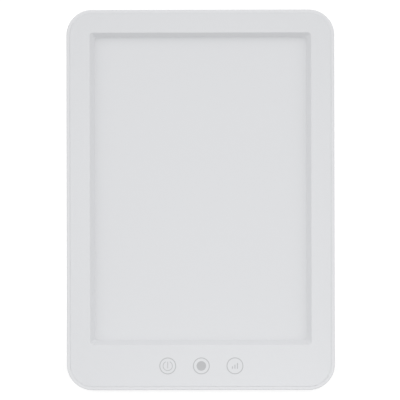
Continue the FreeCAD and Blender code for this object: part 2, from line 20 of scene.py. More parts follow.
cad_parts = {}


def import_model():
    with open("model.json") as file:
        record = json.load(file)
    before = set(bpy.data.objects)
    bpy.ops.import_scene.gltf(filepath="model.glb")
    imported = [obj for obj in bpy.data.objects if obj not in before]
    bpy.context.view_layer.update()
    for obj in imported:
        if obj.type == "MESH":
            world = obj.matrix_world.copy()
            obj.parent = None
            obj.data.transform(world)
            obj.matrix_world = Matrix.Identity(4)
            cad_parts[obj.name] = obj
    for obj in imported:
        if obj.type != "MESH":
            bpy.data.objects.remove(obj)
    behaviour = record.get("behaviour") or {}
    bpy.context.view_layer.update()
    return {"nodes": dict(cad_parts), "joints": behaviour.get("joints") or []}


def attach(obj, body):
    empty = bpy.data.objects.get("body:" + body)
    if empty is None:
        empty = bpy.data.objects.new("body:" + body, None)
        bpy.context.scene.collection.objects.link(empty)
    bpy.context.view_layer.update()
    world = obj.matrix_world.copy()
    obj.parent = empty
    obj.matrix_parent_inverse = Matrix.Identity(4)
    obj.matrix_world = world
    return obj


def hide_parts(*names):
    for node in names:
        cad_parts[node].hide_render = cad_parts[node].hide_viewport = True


LOG = logging.getLogger("lamp")
MM = 0.001
WELD = 1e-5
TINY = 0.001
CLEAR = 1.0
LEAN = math.radians(15.0)
SHARP_ANGLE = math.radians(32.0)
WHITE = (1.0, 1.0, 1.0, 1.0)

Colour = tuple[float, float, float]
Place = tuple[float, float]
Spot = tuple[float, float, float]
Loop = list[Vector]
LoopAt = Callable[[float, float], Loop]


class Side(Enum):
    """The lamp's two sides, seen from the front."""

    LEFT = -1
    RIGHT = 1


class Carve(Enum):
    """How one closed mesh changes another."""

    TAKE = "DIFFERENCE"
    ADD = "UNION"
    KEEP = "INTERSECT"


class Socket:
    """One output of a node. Arithmetic on it adds Math nodes."""

    def __init__(self, shader: "Shader", output: bpy.types.NodeSocket) -> None:
        """Wraps an output of a node in a shader."""
        self.shader = shader
        self.output = output

    def __getitem__(self, name: str) -> "Socket":
        """Another output of the same node."""
        return Socket(self.shader, self.output.node.outputs[name])

    def math(self, operation: str, first: "Value", second: "Value" = 0.0) -> "Socket":
        """Adds a Math node with an operation on two values."""
        return self.shader.node("ShaderNodeMath", {"operation": operation}, {0: first, 1: second})

    def __add__(self, other: "Value") -> "Socket":
        """Self plus other."""
        return self.math("ADD", self, other)

    def __radd__(self, other: "Value") -> "Socket":
        """Other plus self."""
        return self.math("ADD", other, self)

    def __sub__(self, other: "Value") -> "Socket":
        """Self less other."""
        return self.math("SUBTRACT", self, other)

    def __rsub__(self, other: "Value") -> "Socket":
        """Other less self."""
        return self.math("SUBTRACT", other, self)

    def __mul__(self, other: "Value") -> "Socket":
        """Self times other."""
        return self.math("MULTIPLY", self, other)

    def __rmul__(self, other: "Value") -> "Socket":
        """Other times self."""
        return self.math("MULTIPLY", other, self)

    def __pow__(self, other: "Value") -> "Socket":
        """Self to the power of other."""
        return self.math("POWER", self, other)

    def __rpow__(self, other: "Value") -> "Socket":
        """Other to the power of self."""
        return self.math("POWER", other, self)

    def __mod__(self, other: "Value") -> "Socket":
        """What is left of self over other, never below nought."""
        return self.math("FLOORED_MODULO", self, other)

    def __rmod__(self, other: "Value") -> "Socket":
        """What is left of other over self, never below nought."""
        return self.math("FLOORED_MODULO", other, self)

    def __lt__(self, other: "Value") -> "Socket":
        """1 where self is less than other."""
        return self.math("LESS_THAN", self, other)

    def __gt__(self, other: "Value") -> "Socket":
        """1 where self is more than other."""
        return self.math("GREATER_THAN", self, other)

    def __abs__(self) -> "Socket":
        """Self without its sign."""
        return self.math("ABSOLUTE", self)


Value = Union[Socket, float, Sequence[float]]


class Shader:
    """A material or world tree that is built node by node."""

    def __init__(self, tree: bpy.types.NodeTree) -> None:
        """Takes a tree and clears it."""
        self.tree = tree
        tree.nodes.clear()

    def node(self, kind: str, settings: Optional[dict] = None, values: Optional[dict] = None) -> Socket:
        """Adds a node.

        Args:
            kind: The node's type.
            settings: Its properties, which are set first.
            values: What goes to its inputs, by name or number: a number, a colour or a link.

        Returns:
            Its first output, or its first input where it has no output.
        """
        made = self.tree.nodes.new(kind)
        for name, value in (settings or {}).items():
            setattr(made, name, value)
        for key, value in (values or {}).items():
            if isinstance(value, Socket):
                self.tree.links.new(value.output, made.inputs[key])
            else:
                made.inputs[key].default_value = value
        return Socket(self, (made.outputs or made.inputs)[0])

    def blend(self, share: Value, first: Union[Socket, Colour], second: Union[Socket, Colour]) -> Socket:
        """Mixes two colours.

        Args:
            share: How much of the second colour there is.
            first: One colour.
            second: The other colour.

        Returns:
            The mixed colour.
        """
        ends = [end if isinstance(end, Socket) else (*end, 1.0) for end in (first, second)]
        made = self.node("ShaderNodeMix", {"data_type": "RGBA"}, {0: share, 6: ends[0], 7: ends[1]})
        return Socket(self, made.output.node.outputs[2])

    def ramp(self, value: Socket, low: float, high: float) -> Socket:
        """Turns a range of values into 0 to 1, with eased ends.

        Args:
            value: What is mapped.
            low: The value that gives 0.
            high: The value that gives 1.

        Returns:
            The mapped value.
        """
        settings = {"interpolation_type": "SMOOTHSTEP"}
        return self.node("ShaderNodeMapRange", settings, {"Value": value, "From Min": low, "From Max": high})

    def grain(self, where: Socket, cell: float, detail: float = 2.0) -> Socket:
        """Adds noise from 0 to 1, with spots of a size in millimetres and finer layers of detail."""
        return self.node("ShaderNodeTexNoise", None, {"Vector": where, "Scale": 1.0 / cell, "Detail": detail})

    def bump(self, height: Socket, depth: float) -> Socket:
        """Turns heights from 0 to 1, which stand for a depth in millimetres, into a normal."""
        return self.node("ShaderNodeBump", None, {"Height": height, "Distance": depth * MM})

    def seen(self) -> Socket:
        """Tells looking from lighting.

        Returns:
            1 where the camera, a reflection or a clear piece looks, 0 where only light arrives.
        """
        path = self.node("ShaderNodeLightPath")
        rays = path["Is Camera Ray"] + path["Is Glossy Ray"] + path["Is Transmission Ray"]
        return rays.math("MINIMUM", rays, 1.0)


@dataclass(frozen=True)
class Placement:
    """Where the upright drawing frame stands in the row frame."""

    shift: Vector

    def matrix(self) -> Matrix:
        """The matrix from upright millimetres to leaned metres."""
        return Matrix.Translation(self.shift) @ Matrix.Rotation(-LEAN, 4, "X") @ Matrix.Scale(MM, 4)

    @staticmethod
    def from_table() -> Matrix:
        """The matrix from a drawing that is level with the table to the upright one."""
        return Matrix.Rotation(LEAN, 4, "X")

    def upright(self, shader: Shader) -> Socket:
        """Adds the nodes that give a point's upright place.

        Args:
            shader: The tree that they go into.

        Returns:
            The place in millimetres.
        """
        where = shader.node("ShaderNodeTexCoord")["Object"]
        turn = Euler((LEAN, 0.0, 0.0))
        moved = -(turn.to_matrix() @ self.shift) / MM
        values = {"Vector": where, "Location": moved, "Rotation": turn, "Scale": (1 / MM,) * 3}
        return shader.node("ShaderNodeMapping", None, values)


@dataclass(frozen=True)
class Outline:
    """A rectangle with four round corners, seen from the front."""

    half: float
    low: float
    high: float
    radius: float

    def inset(self, amount: float) -> "Outline":
        """The same outline, smaller by an amount all round."""
        radius = max(self.radius - amount, 0.05)
        return Outline(self.half - amount, self.low + amount, self.high - amount, radius)

    def toward(self, other: "Outline", share: float) -> "Outline":
        """An outline between this one, at a share of 0, and another, at 1."""
        pairs = zip(astuple(self), astuple(other))
        return Outline(*(first + (second - first) * share for first, second in pairs))

    def loop(self, depth: float, steps: int = 16) -> Loop:
        """Points round the outline.

        Args:
            depth: How far behind the front face it is.
            steps: How many edges each corner has.

        Returns:
            The points, the same number whatever the size.
        """
        reach = self.half - self.radius
        points = []
        for corner, x in enumerate((reach, -reach, -reach, reach)):
            z = self.high - self.radius if corner < 2 else self.low + self.radius
            places = arc((x, z), self.radius, 90.0 * corner, 90.0 * (corner + 1), steps)
            points += [Vector((across, depth, up)) for across, up in places]
        return points


@dataclass(frozen=True)
class Finish:
    """What a surface is made of. Each kind of finish says how it looks."""

    name: str
    colour: Colour

    def tone(self, share: float, lift: float = 0.0) -> Colour:
        """The finish's colour, darker or paler."""
        return tuple(min(part * share + lift, 1.0) for part in self.colour)

    def surface(self, shader: Shader, where: Socket) -> dict[str, Value]:
        """Works the finish out at a place in upright millimetres, as the Principled shader's inputs."""
        raise NotImplementedError

    def make(self, placement: Placement) -> bpy.types.Material:
        """Builds the material.

        Args:
            placement: Where the upright frame stands.

        Returns:
            The material.
        """
        material = bpy.data.materials.new(self.name)
        material.use_nodes = True
        shader = Shader(material.node_tree)
        inputs = self.surface(shader, placement.upright(shader))
        principled = shader.node("ShaderNodeBsdfPrincipled", None, inputs)
        shader.node("ShaderNodeOutputMaterial", None, {"Surface": principled})
        return material


@dataclass(frozen=True)
class MouldedPlastic(Finish):
    """A moulded plastic with the fine texture of its mould, a random broad mottle, and painted shade that
    darkens the texture's pits.
    """

    roughness: float = 0.4
    cell: float = 0.3
    depth: float = 0.004
    mottle_and_pit_shade: float = 0.012
    play: float = 0.12
    broad_cell: float = 38.0

    def surface(self, shader: Shader, where: Socket) -> dict[str, Value]:
        """Works the finish out.

        Args:
            shader: The material's shader.
            where: The place in upright millimetres.

        Returns:
            The Principled shader's inputs.
        """
        fine = shader.grain(where, self.cell, 3.0)
        # Painted shade and mottle: half the darkening follows the fine grain that also makes the bump, so the
        # pits are painted darker; the other half is random broad mottle.
        cloud = shader.grain(where, self.broad_cell, 1.0) * 0.5 + fine * 0.5
        return {
            "Base Color": shader.blend(cloud, self.tone(1.0 - 2.0 * self.mottle_and_pit_shade), self.colour),
            "Roughness": self.roughness + (fine - 0.5) * self.play,
            "Normal": shader.bump(fine, self.depth),
        }


@dataclass(frozen=True)
class OpalSheet(Finish):
    """A diffusing sheet: milky and finely frosted, with painted shade that darkens its colour towards the lip
    that holds it, most below the top lip.
    """

    painted_shade_colour: Colour
    opening: Outline
    side_shade_fade: float = 0.72
    end_shade_fade: float = 0.53
    side_shade_share: float = 0.47
    low_shade_share: float = 0.2
    frost_cell: float = 0.18
    frost_depth: float = 0.003
    cloud_cell: float = 60.0
    cloud_share: float = 0.04
    roughness: float = 0.5
    play: float = 0.1
    specular: float = 0.35

    def surface(self, shader: Shader, where: Socket) -> dict[str, Value]:
        """Works the finish out.

        Args:
            shader: The material's shader.
            where: The place in upright millimetres.

        Returns:
            The Principled shader's inputs.
        """
        split = shader.node("ShaderNodeSeparateXYZ", None, {0: where})
        across = self.opening.half - abs(split)
        above = split["Z"] - self.opening.low
        below = self.opening.high - split["Z"]
        # Painted shade: the colour darkens towards the lip round the window, most below the top lip, less at
        # the sides and least above the bottom lip, standing in for the lip's shadow. The broad cloud is
        # random tone.
        painted_shade = self.side_shade_fade ** across * self.side_shade_share
        painted_shade = painted_shade + self.end_shade_fade ** below + self.end_shade_fade ** above * self.low_shade_share
        frost = shader.grain(where, self.frost_cell, 3.0)
        cloud = shader.grain(where, self.cloud_cell, 1.0)
        return {
            "Base Color": shader.blend(painted_shade + cloud * self.cloud_share, self.colour, self.painted_shade_colour),
            "Roughness": self.roughness + (frost - 0.5) * self.play,
            "Specular IOR Level": self.specular,
            "Normal": shader.bump(frost, self.frost_depth),
        }


@dataclass(frozen=True)
class ClearSheet(Finish):
    """A clear or milky sheet inside the light stack, with a fine printed or pressed pattern."""

    pitch: float
    clear: float = 0.85
    index: float = 1.49
    line_colour: Colour = (0.9, 0.9, 0.9)
    line_share: float = 0.3
    line_depth: float = 0.05
    roughness: float = 0.12
    play: float = 0.2

    def surface(self, shader: Shader, where: Socket) -> dict[str, Value]:
        """Works the finish out.

        Args:
            shader: The material's shader.
            where: The place in upright millimetres.

        Returns:
            The Principled shader's inputs.
        """
        split = shader.node("ShaderNodeSeparateXYZ", None, {0: where})
        wave = abs(split["Z"] % self.pitch - self.pitch / 2) * (2.0 / self.pitch)
        return {
            "Base Color": shader.blend(wave * self.line_share, self.colour, self.line_colour),
            "Roughness": self.roughness + wave * self.play,
            "Transmission Weight": self.clear,
            "IOR": self.index,
            "Normal": shader.bump(wave, self.line_depth),
        }


@dataclass(frozen=True)
class TurnedMetal(Finish):
    """Metal with fine lines from rolling, pressing or turning."""

    roughness: float
    line: float = 0.12
    stretch: float = 0.04
    dark: float = 0.8
    play: float = 0.2
    depth: float = 0.006

    def surface(self, shader: Shader, where: Socket) -> dict[str, Value]:
        """Works the finish out.

        Args:
            shader: The material's shader.
            where: The place in upright millimetres.

        Returns:
            The Principled shader's inputs.
        """
        drawn = shader.node("ShaderNodeMapping", None, {"Vector": where, "Scale": (1.0, 1.0, self.stretch)})
        lines = shader.grain(drawn, self.line, 4.0)
        return {
            "Base Color": shader.blend(lines, self.tone(self.dark), self.colour),
            "Metallic": 1.0,
            "Roughness": self.roughness + (lines - 0.5) * self.play,
            "Normal": shader.bump(lines, self.depth),
        }


@dataclass(frozen=True)
class CircuitBoard(Finish):
    """A board with solder resist, copper runs under it and pale pads."""

    run_colour: Colour
    pitch: float
    run_share: float = 0.7
    run_half: float = 0.16
    run_height: float = 0.03
    zone: float = 6.0
    zone_ends: Place = (0.47, 0.53)
    pad_colour: Colour = (0.62, 0.6, 0.55)
    pad_pitch: Place = (4.0, 5.0)
    pad_height: float = 2.0
    pad_half: Place = (0.6, 0.5)
    roughness: float = 0.32
    play: float = 0.15

    def surface(self, shader: Shader, where: Socket) -> dict[str, Value]:
        """Works the finish out.

        Args:
            shader: The material's shader.
            where: The place in upright millimetres.

        Returns:
            The Principled shader's inputs.
        """
        x = shader.node("ShaderNodeSeparateXYZ", None, {0: where})
        z = x["Z"]
        zones = shader.grain(where, self.pitch * self.zone, 0.0)
        half_run = self.pitch * self.run_half
        upright = abs(x % self.pitch - self.pitch / 2) < half_run
        level = abs(z % self.pitch - self.pitch / 2) < half_run
        runs = upright * (zones > self.zone_ends[1]) + level * (zones < self.zone_ends[0])
        pads = abs(x % (self.pitch * self.pad_pitch[0]) - self.pitch) < self.pad_half[0]
        pads = pads * (abs(z % (self.pitch * self.pad_pitch[1]) - self.pad_height) < self.pad_half[1])
        base = shader.blend(runs * self.run_share, self.colour, self.run_colour)
        return {
            "Base Color": shader.blend(pads, base, self.pad_colour),
            "Roughness": self.roughness + pads * self.play,
            "Normal": shader.bump(runs, self.run_height),
        }


@dataclass(frozen=True)
class WovenScreen(Finish):
    """A fine woven screen behind the vents."""

    pitch: float = 0.5
    depth: float = 0.12
    dark: float = 0.3
    roughness: float = 0.6
    play: float = 0.15

    def surface(self, shader: Shader, where: Socket) -> dict[str, Value]:
        """Works the finish out.

        Args:
            shader: The material's shader.
            where: The place in upright millimetres.

        Returns:
            The Principled shader's inputs.
        """
        split = shader.node("ShaderNodeSeparateXYZ", None, {0: where})
        warp = abs(split % self.pitch - self.pitch / 2) * (2.0 / self.pitch)
        weft = abs(split["Z"] % self.pitch - self.pitch / 2) * (2.0 / self.pitch)
        thread = warp.math("MAXIMUM", warp, weft)
        return {
            "Base Color": shader.blend(thread, self.tone(self.dark), self.colour),
            "Roughness": self.roughness + thread * self.play,
            "Normal": shader.bump(thread, self.depth),
        }


@dataclass(frozen=True)
class SoftRubber(Finish):
    """Silicone rubber or foam: matt, with fine pores and a slightly paler worn face."""

    cell: float = 0.35
    depth: float = 0.02
    roughness: float = 0.75
    play: float = 0.15
    specular: float = 0.3
    worn_cell: float = 5.0
    worn_ends: Place = (0.45, 0.7)
    worn_tone: Place = (1.25, 0.01)

    def surface(self, shader: Shader, where: Socket) -> dict[str, Value]:
        """Works the finish out.

        Args:
            shader: The material's shader.
            where: The place in upright millimetres.

        Returns:
            The Principled shader's inputs.
        """
        pores = shader.grain(where, self.cell, 4.0)
        worn = shader.ramp(shader.grain(where, self.worn_cell), *self.worn_ends)
        return {
            "Base Color": shader.blend(worn * 0.5, self.colour, self.tone(*self.worn_tone)),
            "Roughness": self.roughness + (pores - 0.5) * self.play,
            "Specular IOR Level": self.specular,
            "Normal": shader.bump(pores, self.depth),
        }


@dataclass(frozen=True)
class PrintedInk(Finish):
    """Screen-printed ink: flat grey with a faint mesh texture."""

    cell: float = 0.12
    depth: float = 0.002
    dark: float = 0.96
    roughness: float = 0.5
    play: float = 0.1

    def surface(self, shader: Shader, where: Socket) -> dict[str, Value]:
        """Works the finish out.

        Args:
            shader: The material's shader.
            where: The place in upright millimetres.

        Returns:
            The Principled shader's inputs.
        """
        cells = shader.grain(where, self.cell)
        return {
            "Base Color": shader.blend(cells, self.tone(self.dark), self.colour),
            "Roughness": self.roughness + (cells - 0.5) * self.play,
            "Normal": shader.bump(cells, self.depth),
        }


def arc(centre: Place, radius: float, start: float, end: float, steps: int) -> list[Place]:
    """Points along an arc, both ends among them.

    Args:
        centre: Its centre.
        radius: Its radius.
        start: Its first angle in degrees.
        end: Its last angle in degrees.
        steps: How many edges it has.

    Returns:
        The points.
    """
    angles = [math.radians(start + (end - start) * step / steps) for step in range(steps + 1)]
    return [(centre[0] + radius * math.cos(angle), centre[1] + radius * math.sin(angle)) for angle in angles]


def ring(radius: float, count: int) -> list[Place]:
    """Evenly spaced points round a circle about the origin."""
    return arc((0.0, 0.0), radius, 0.0, 360.0 - 360.0 / count, count - 1)


def mirrored(right: Sequence[Place]) -> list[Place]:
    """Corners up the right side, and the same down the left."""
    return list(right) + [(-x, z) for x, z in reversed(right)]


def rectangle(left: float, right: float, low: float, high: float) -> list[Place]:
    """The corners of a rectangle."""
    return [(left, low), (right, low), (right, high), (left, high)]


def circle(x: float, z: float, radius: float, depth: float, steps: int = 48) -> Loop:
    """Points round a circle that faces the front.

    Args:
        x: The centre's place across.
        z: The centre's height.
        radius: Its radius.
        depth: How far behind the front face it is.
        steps: How many edges it has.

    Returns:
        The points.
    """
    angles = [math.tau * step / steps for step in range(steps)]
    return [Vector((x + radius * math.cos(angle), depth, z + radius * math.sin(angle))) for angle in angles]


def round_hole(x: float, z: float, radius: float) -> LoopAt:
    """Gives a round hole's loop for a growth and a depth."""
    return lambda grow, depth: circle(x, z, radius + grow, depth)


def slot(x: float, z: float, half: float, reach: float) -> LoopAt:
    """Gives an upright slot's loop, with round ends, for a growth and a depth.

    Args:
        x: The middle's place across.
        z: The middle's height.
        half: Half its width.
        reach: Half its length.

    Returns:
        What gives the loop.
    """
    def loop_at(grow: float, depth: float) -> Loop:
        """The slot, larger by grow, at a depth."""
        ends = [arc((x, z + up), half + grow, start, start + 180.0, 10) for up, start in centres]
        return [Vector((across, depth, up)) for across, up in ends[0] + ends[1]]

    centres = ((reach - half, 0.0), (half - reach, 180.0))
    return loop_at


def flared(loop_at: LoopAt, floor: float, mouth: float, flare: float) -> list[Loop]:
    """Loops of a cutter whose mouth opens with a small round.

    Args:
        loop_at: Gives the loop for a growth and a depth.
        floor: The depth where the cutter ends.
        mouth: The depth of the surface that it opens on.
        flare: The radius of the round at the mouth.

    Returns:
        The loops from the floor to the outside.
    """
    rows = [(0.0, floor)] + arc((flare, mouth - flare), flare, 180.0, 90.0, 4) + [(flare, mouth + CLEAR)]
    return [loop_at(grow, depth) for grow, depth in rows]


class Sketch:
    """The mesh of one piece while it is drawn, in upright millimetres."""

    def __init__(self) -> None:
        """Starts an empty mesh."""
        self.mesh = bmesh.new()

    def loft(self, loops: Iterable[Loop], closed: bool = False) -> "Sketch":
        """Joins loops of points by faces.

        Args:
            loops: Loops with one number of points.
            closed: Whether the last loop joins the first. Otherwise both ends are capped.

        Returns:
            The sketch, so that more can follow.
        """
        rows = [[self.mesh.verts.new(point) for point in loop] for loop in loops]
        pairs = list(zip(rows, rows[1:]))
        if closed:
            pairs.append((rows[-1], rows[0]))
        for first, second in pairs:
            for index, corner in enumerate(first):
                after = (index + 1) % len(first)
                self.mesh.faces.new((corner, first[after], second[after], second[index]))
        if not closed:
            self.mesh.faces.new(rows[0])
            self.mesh.faces.new(list(reversed(rows[-1])))
        return self

    def prism(self, points: Sequence[Vector], travel: Vector) -> "Sketch":
        """Draws a prism from its first end's corners and the way from there to its other end."""
        return self.loft([list(points), [point + travel for point in points]])

    def build(self, name: str, placement: Optional[Placement] = None) -> bpy.types.Object:
        """Makes the object.

        Args:
            name: Its name.
            placement: Where the upright frame stands, or None to leave it in upright millimetres.

        Returns:
            The object.
        """
        bmesh.ops.remove_doubles(self.mesh, verts=self.mesh.verts, dist=WELD)
        bmesh.ops.recalc_face_normals(self.mesh, faces=self.mesh.faces)
        data = bpy.data.meshes.new(name)
        self.mesh.to_mesh(data)
        self.mesh.free()
        made = add_object(name, data)
        if placement is not None:
            settle(made, placement)
        return made


def add_object(name: str, data: bpy.types.ID) -> bpy.types.Object:
    """Puts new data into the scene.

    Args:
        name: The object's name.
        data: The mesh, lamp or camera.

    Returns:
        The object.
    """
    made = bpy.data.objects.new(name, data)
    bpy.context.scene.collection.objects.link(made)
    return made


def settle(piece: bpy.types.Object, placement: Placement) -> None:
    """Cleans a finished mesh, moves it into the row frame and smooths its round faces.

    Args:
        piece: The object.
        placement: Where the upright frame stands.
    """
    clean = bmesh.new()
    clean.from_mesh(piece.data)
    bmesh.ops.remove_doubles(clean, verts=clean.verts, dist=TINY)
    bmesh.ops.dissolve_degenerate(clean, edges=clean.edges, dist=TINY)
    clean.to_mesh(piece.data)
    clean.free()
    piece.data.transform(placement.matrix())
    for face in piece.data.polygons:
        face.use_smooth = True
    piece.data.set_sharp_from_angle(angle=SHARP_ANGLE)
    weighted = piece.modifiers.new("even_faces", "WEIGHTED_NORMAL")
    weighted.keep_sharp = True
    weighted.weight = 80


def carve(target: bpy.types.Object, tool: bpy.types.Object, way: Carve) -> None:
    """Changes one closed mesh by another, which is used up.

    Args:
        target: What is changed.
        tool: What changes it.
        way: How it does.
    """
    modifier = target.modifiers.new("carve", "BOOLEAN")
    modifier.operation = way.value
    modifier.solver = "EXACT"
    modifier.object = tool
    graph = bpy.context.evaluated_depsgraph_get()
    made = bpy.data.meshes.new_from_object(target.evaluated_get(graph))
    target.modifiers.clear()
    old = target.data
    target.data = made
    used = tool.data
    bpy.data.objects.remove(tool)
    for mesh in (old, used):
        bpy.data.meshes.remove(mesh)


def dress(piece: bpy.types.Object, material: bpy.types.Material) -> None:
    """Gives a piece one material."""
    piece.data.materials.clear()
    piece.data.materials.append(material)


@dataclass(frozen=True)
class Body:
    """The sizes that more than one assembly takes from the lamp's body."""

    half_width: float = 81.0
    height: float = 230.0
    depth: float = 20.0
    corner: float = 15.5
    back_edge: float = 6.0
    wall: float = 2.15
    back_wall: float = 2.2
    rim_setback: float = 0.35
    seam: float = 0.02
    screw_x: float = 66.0
    screw_low: float = 11.0
    screw_top: float = 9.0
    shoulder: float = 126.0
    over_long: float = -9.0
    hinge_y: float = 16.8
    hinge_z: float = 132.0
    leg_outer: float = 19.9
    leg_inner: float = 16.1
    open_angle: float = math.radians(27.0)
    table_level: float = -4.128
    foot_middle: float = 56.0
    foot: Outline = Outline(half=13.0, low=14.576, high=18.276, radius=1.8)
    foot_top: float = -2.828

    def outline(self) -> Outline:
        """The body's outline from the front."""
        return Outline(self.half_width, 0.0, self.height, self.corner)

    def screw_places(self) -> list[Place]:
        """Where the four cover screws are."""
        heights = (self.screw_low, self.height - self.screw_top)
        return [(side.value * self.screw_x, z) for side in Side for z in heights]

    def foot_loops(self, side: Side, rows: Sequence[Place]) -> list[Loop]:
        """Level loops round a foot, in the upright frame.

        Args:
            side: Which foot it is.
            rows: Pairs of how much smaller the loop is, and its height over the drawing's origin.

        Returns:
            The loops.
        """
        turn = Placement.from_table()
        middle = side.value * self.foot_middle
        loops = []
        for inset, height in rows:
            flat = self.foot.inset(inset).loop(0.0, 8)
            loops.append([turn @ Vector((point.x + middle, point.z, height)) for point in flat])
        return loops


@dataclass
class FaceAssembly:
    """The front: the bezel, the diffusing window and the printed touch marks."""

    body: Body
    placement: Placement
    edge_round: float = 0.15
    plate: float = 2.8
    skirt_depth: float = 7.0
    skirt_wall: float = 1.5
    window: Outline = Outline(half=66.92, low=27.4, high=216.0, radius=1.8)
    floor: Outline = Outline(half=64.0, low=30.05, high=213.45, radius=1.0)
    window_round: float = 0.18
    window_steps: int = 6
    lip: float = 2.7
    mark_height: float = 14.68
    mark_pitch: float = 20.3
    mark_shift: float = 0.28
    ring_radius: float = 4.8
    ring_line: float = 0.54
    glyph_line: float = 0.42
    cap_angles: tuple[float, ...] = (0.2, 0.6, 1.0, 1.35)
    power_radius: float = 2.8
    power_gap: Place = (119.0, 421.0)
    power_bar: Place = (2.4, -1.3)
    disc_radius: float = 2.9
    bar_count: int = 3
    bar_pitch: float = 1.5
    bar_low: float = -1.5
    bar_step: float = 1.0
    bar_line: float = 0.6
    print_proud: float = 0.015
    print_root: float = 0.03
    bezel_finish: Finish = MouldedPlastic(
        "satin_bezel", (0.698, 0.706, 0.723), roughness=0.34, cell=0.22, depth=0.003, mottle_and_pit_shade=0.006)
    # The window's second colour is painted shade, darker towards the lip that holds the sheet.
    window_finish: Finish = OpalSheet(
        "opal_window", (0.732, 0.740, 0.757), painted_shade_colour=(0.600, 0.608, 0.624), opening=floor)
    ink_finish: Finish = PrintedInk("mark_ink", (0.493, 0.499, 0.511))

    def build(self, nodes: dict[str, bpy.types.Object]) -> list[bpy.types.Object]:
        """Builds and dresses the front.

        Args:
            nodes: The CAD nodes by name.

        Returns:
            The new pieces.
        """
        bezel = self.bezel()
        dress(bezel, self.bezel_finish.make(self.placement))
        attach(bezel, "lamp_body")
        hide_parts("front_bezel")
        dress(nodes["diffuser_panel"], self.window_finish.make(self.placement))
        ink = self.ink_finish.make(self.placement)
        pieces = [bezel]
        glyphs = {"power": self.draw_power, "light": self.draw_light, "level": self.draw_level}
        for step, (name, draw) in enumerate(glyphs.items(), -1):
            sketch = Sketch()
            x = self.mark_shift + step * self.mark_pitch
            self.draw_ring(sketch, x)
            draw(sketch, x)
            mark = sketch.build("mark_" + name, self.placement)
            dress(mark, ink)
            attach(mark, "lamp_body")
            pieces.append(mark)
        return pieces

    def bezel(self) -> bpy.types.Object:
        """Draws the bezel as one closed loft: skirt, face, window edge, sloped lip and back.

        Returns:
            The bezel.
        """
        outer = self.body.outline().inset(self.body.wall + self.body.seam)
        inner = outer.inset(self.skirt_wall)
        small = self.edge_round
        edge_rows = arc((small, small), small, 180.0, 270.0, 5)
        loops = [outer.loop(self.skirt_depth)]
        loops += [outer.inset(inset).loop(depth) for inset, depth in edge_rows]
        for step in range(self.window_steps + 1):
            share = step / self.window_steps
            along = share * share * self.window_round / self.lip
            edge = self.window.toward(self.floor, along).inset(-((1 - share) ** 2) * self.window_round)
            loops.append(edge.loop(self.plate * along))
        loops += [self.floor.loop(self.plate), inner.loop(self.plate), inner.loop(self.skirt_depth)]
        return Sketch().loft(loops, closed=True).build("bezel_shell", self.placement)

    def line_section(self, half: float) -> tuple[Place, ...]:
        """The section of a printed line as (offset, depth) corners."""
        root, proud = self.print_root, -self.print_proud
        return ((half, root), (half, proud), (-half, proud), (-half, root))

    def draw_ring(self, sketch: Sketch, x: float) -> None:
        """Draws the ring round a mark.

        Args:
            sketch: The mark's sketch.
            x: The mark's place across.
        """
        rows = [circle(x, self.mark_height, self.ring_radius + grow, depth, 96)
                for grow, depth in self.line_section(self.ring_line / 2)]
        sketch.loft(rows, closed=True)

    def draw_stroke(self, sketch: Sketch, path: Sequence[Place], width: float) -> None:
        """Draws a line of ink with round ends along a path.

        Args:
            sketch: The mark's sketch.
            path: The line's middle as (x, z) points.
            width: How wide it is.
        """
        points = [Vector((x, 0.0, z)) for x, z in path]
        half = width / 2
        cap = [(half * math.cos(angle), half * math.sin(angle)) for angle in self.cap_angles]
        rows = []
        last = len(points) - 1
        for index, point in enumerate(points):
            way = (points[min(index + 1, last)] - points[max(index - 1, 0)]).normalized()
            side = Vector((-way.z, 0.0, way.x))
            spread = [(0.0, half)]
            if index == 0:
                spread = [(-ahead, wide) for ahead, wide in cap] + spread
            if index == last:
                spread = spread + cap[::-1]
            for ahead, wide in spread:
                centre, section = point + way * ahead, self.line_section(wide)
                rows.append([centre + side * grow + Vector((0.0, depth, 0.0)) for grow, depth in section])
        sketch.loft(rows)

    def draw_power(self, sketch: Sketch, x: float) -> None:
        """Draws the power mark.

        Args:
            sketch: The mark's sketch.
            x: The mark's place across.
        """
        curve = arc((x, self.mark_height), self.power_radius, *self.power_gap, 48)
        self.draw_stroke(sketch, curve, self.glyph_line)
        self.draw_stroke(sketch, [(x, self.mark_height + up) for up in self.power_bar], self.glyph_line)

    def draw_light(self, sketch: Sketch, x: float) -> None:
        """Draws the solid disc of the middle mark at a place across."""
        depths = (self.print_root, -self.print_proud)
        sketch.loft([circle(x, self.mark_height, self.disc_radius, depth, 72) for depth in depths])

    def draw_level(self, sketch: Sketch, x: float) -> None:
        """Draws three bars that rise from left to right.

        Args:
            sketch: The mark's sketch.
            x: The mark's place across.
        """
        low = self.mark_height + self.bar_low
        for index in range(self.bar_count):
            place = x + (index - (self.bar_count - 1) / 2) * self.bar_pitch
            top = low + self.bar_step * (index + 1)
            self.draw_stroke(sketch, [(place, low), (place, top)], self.bar_line)


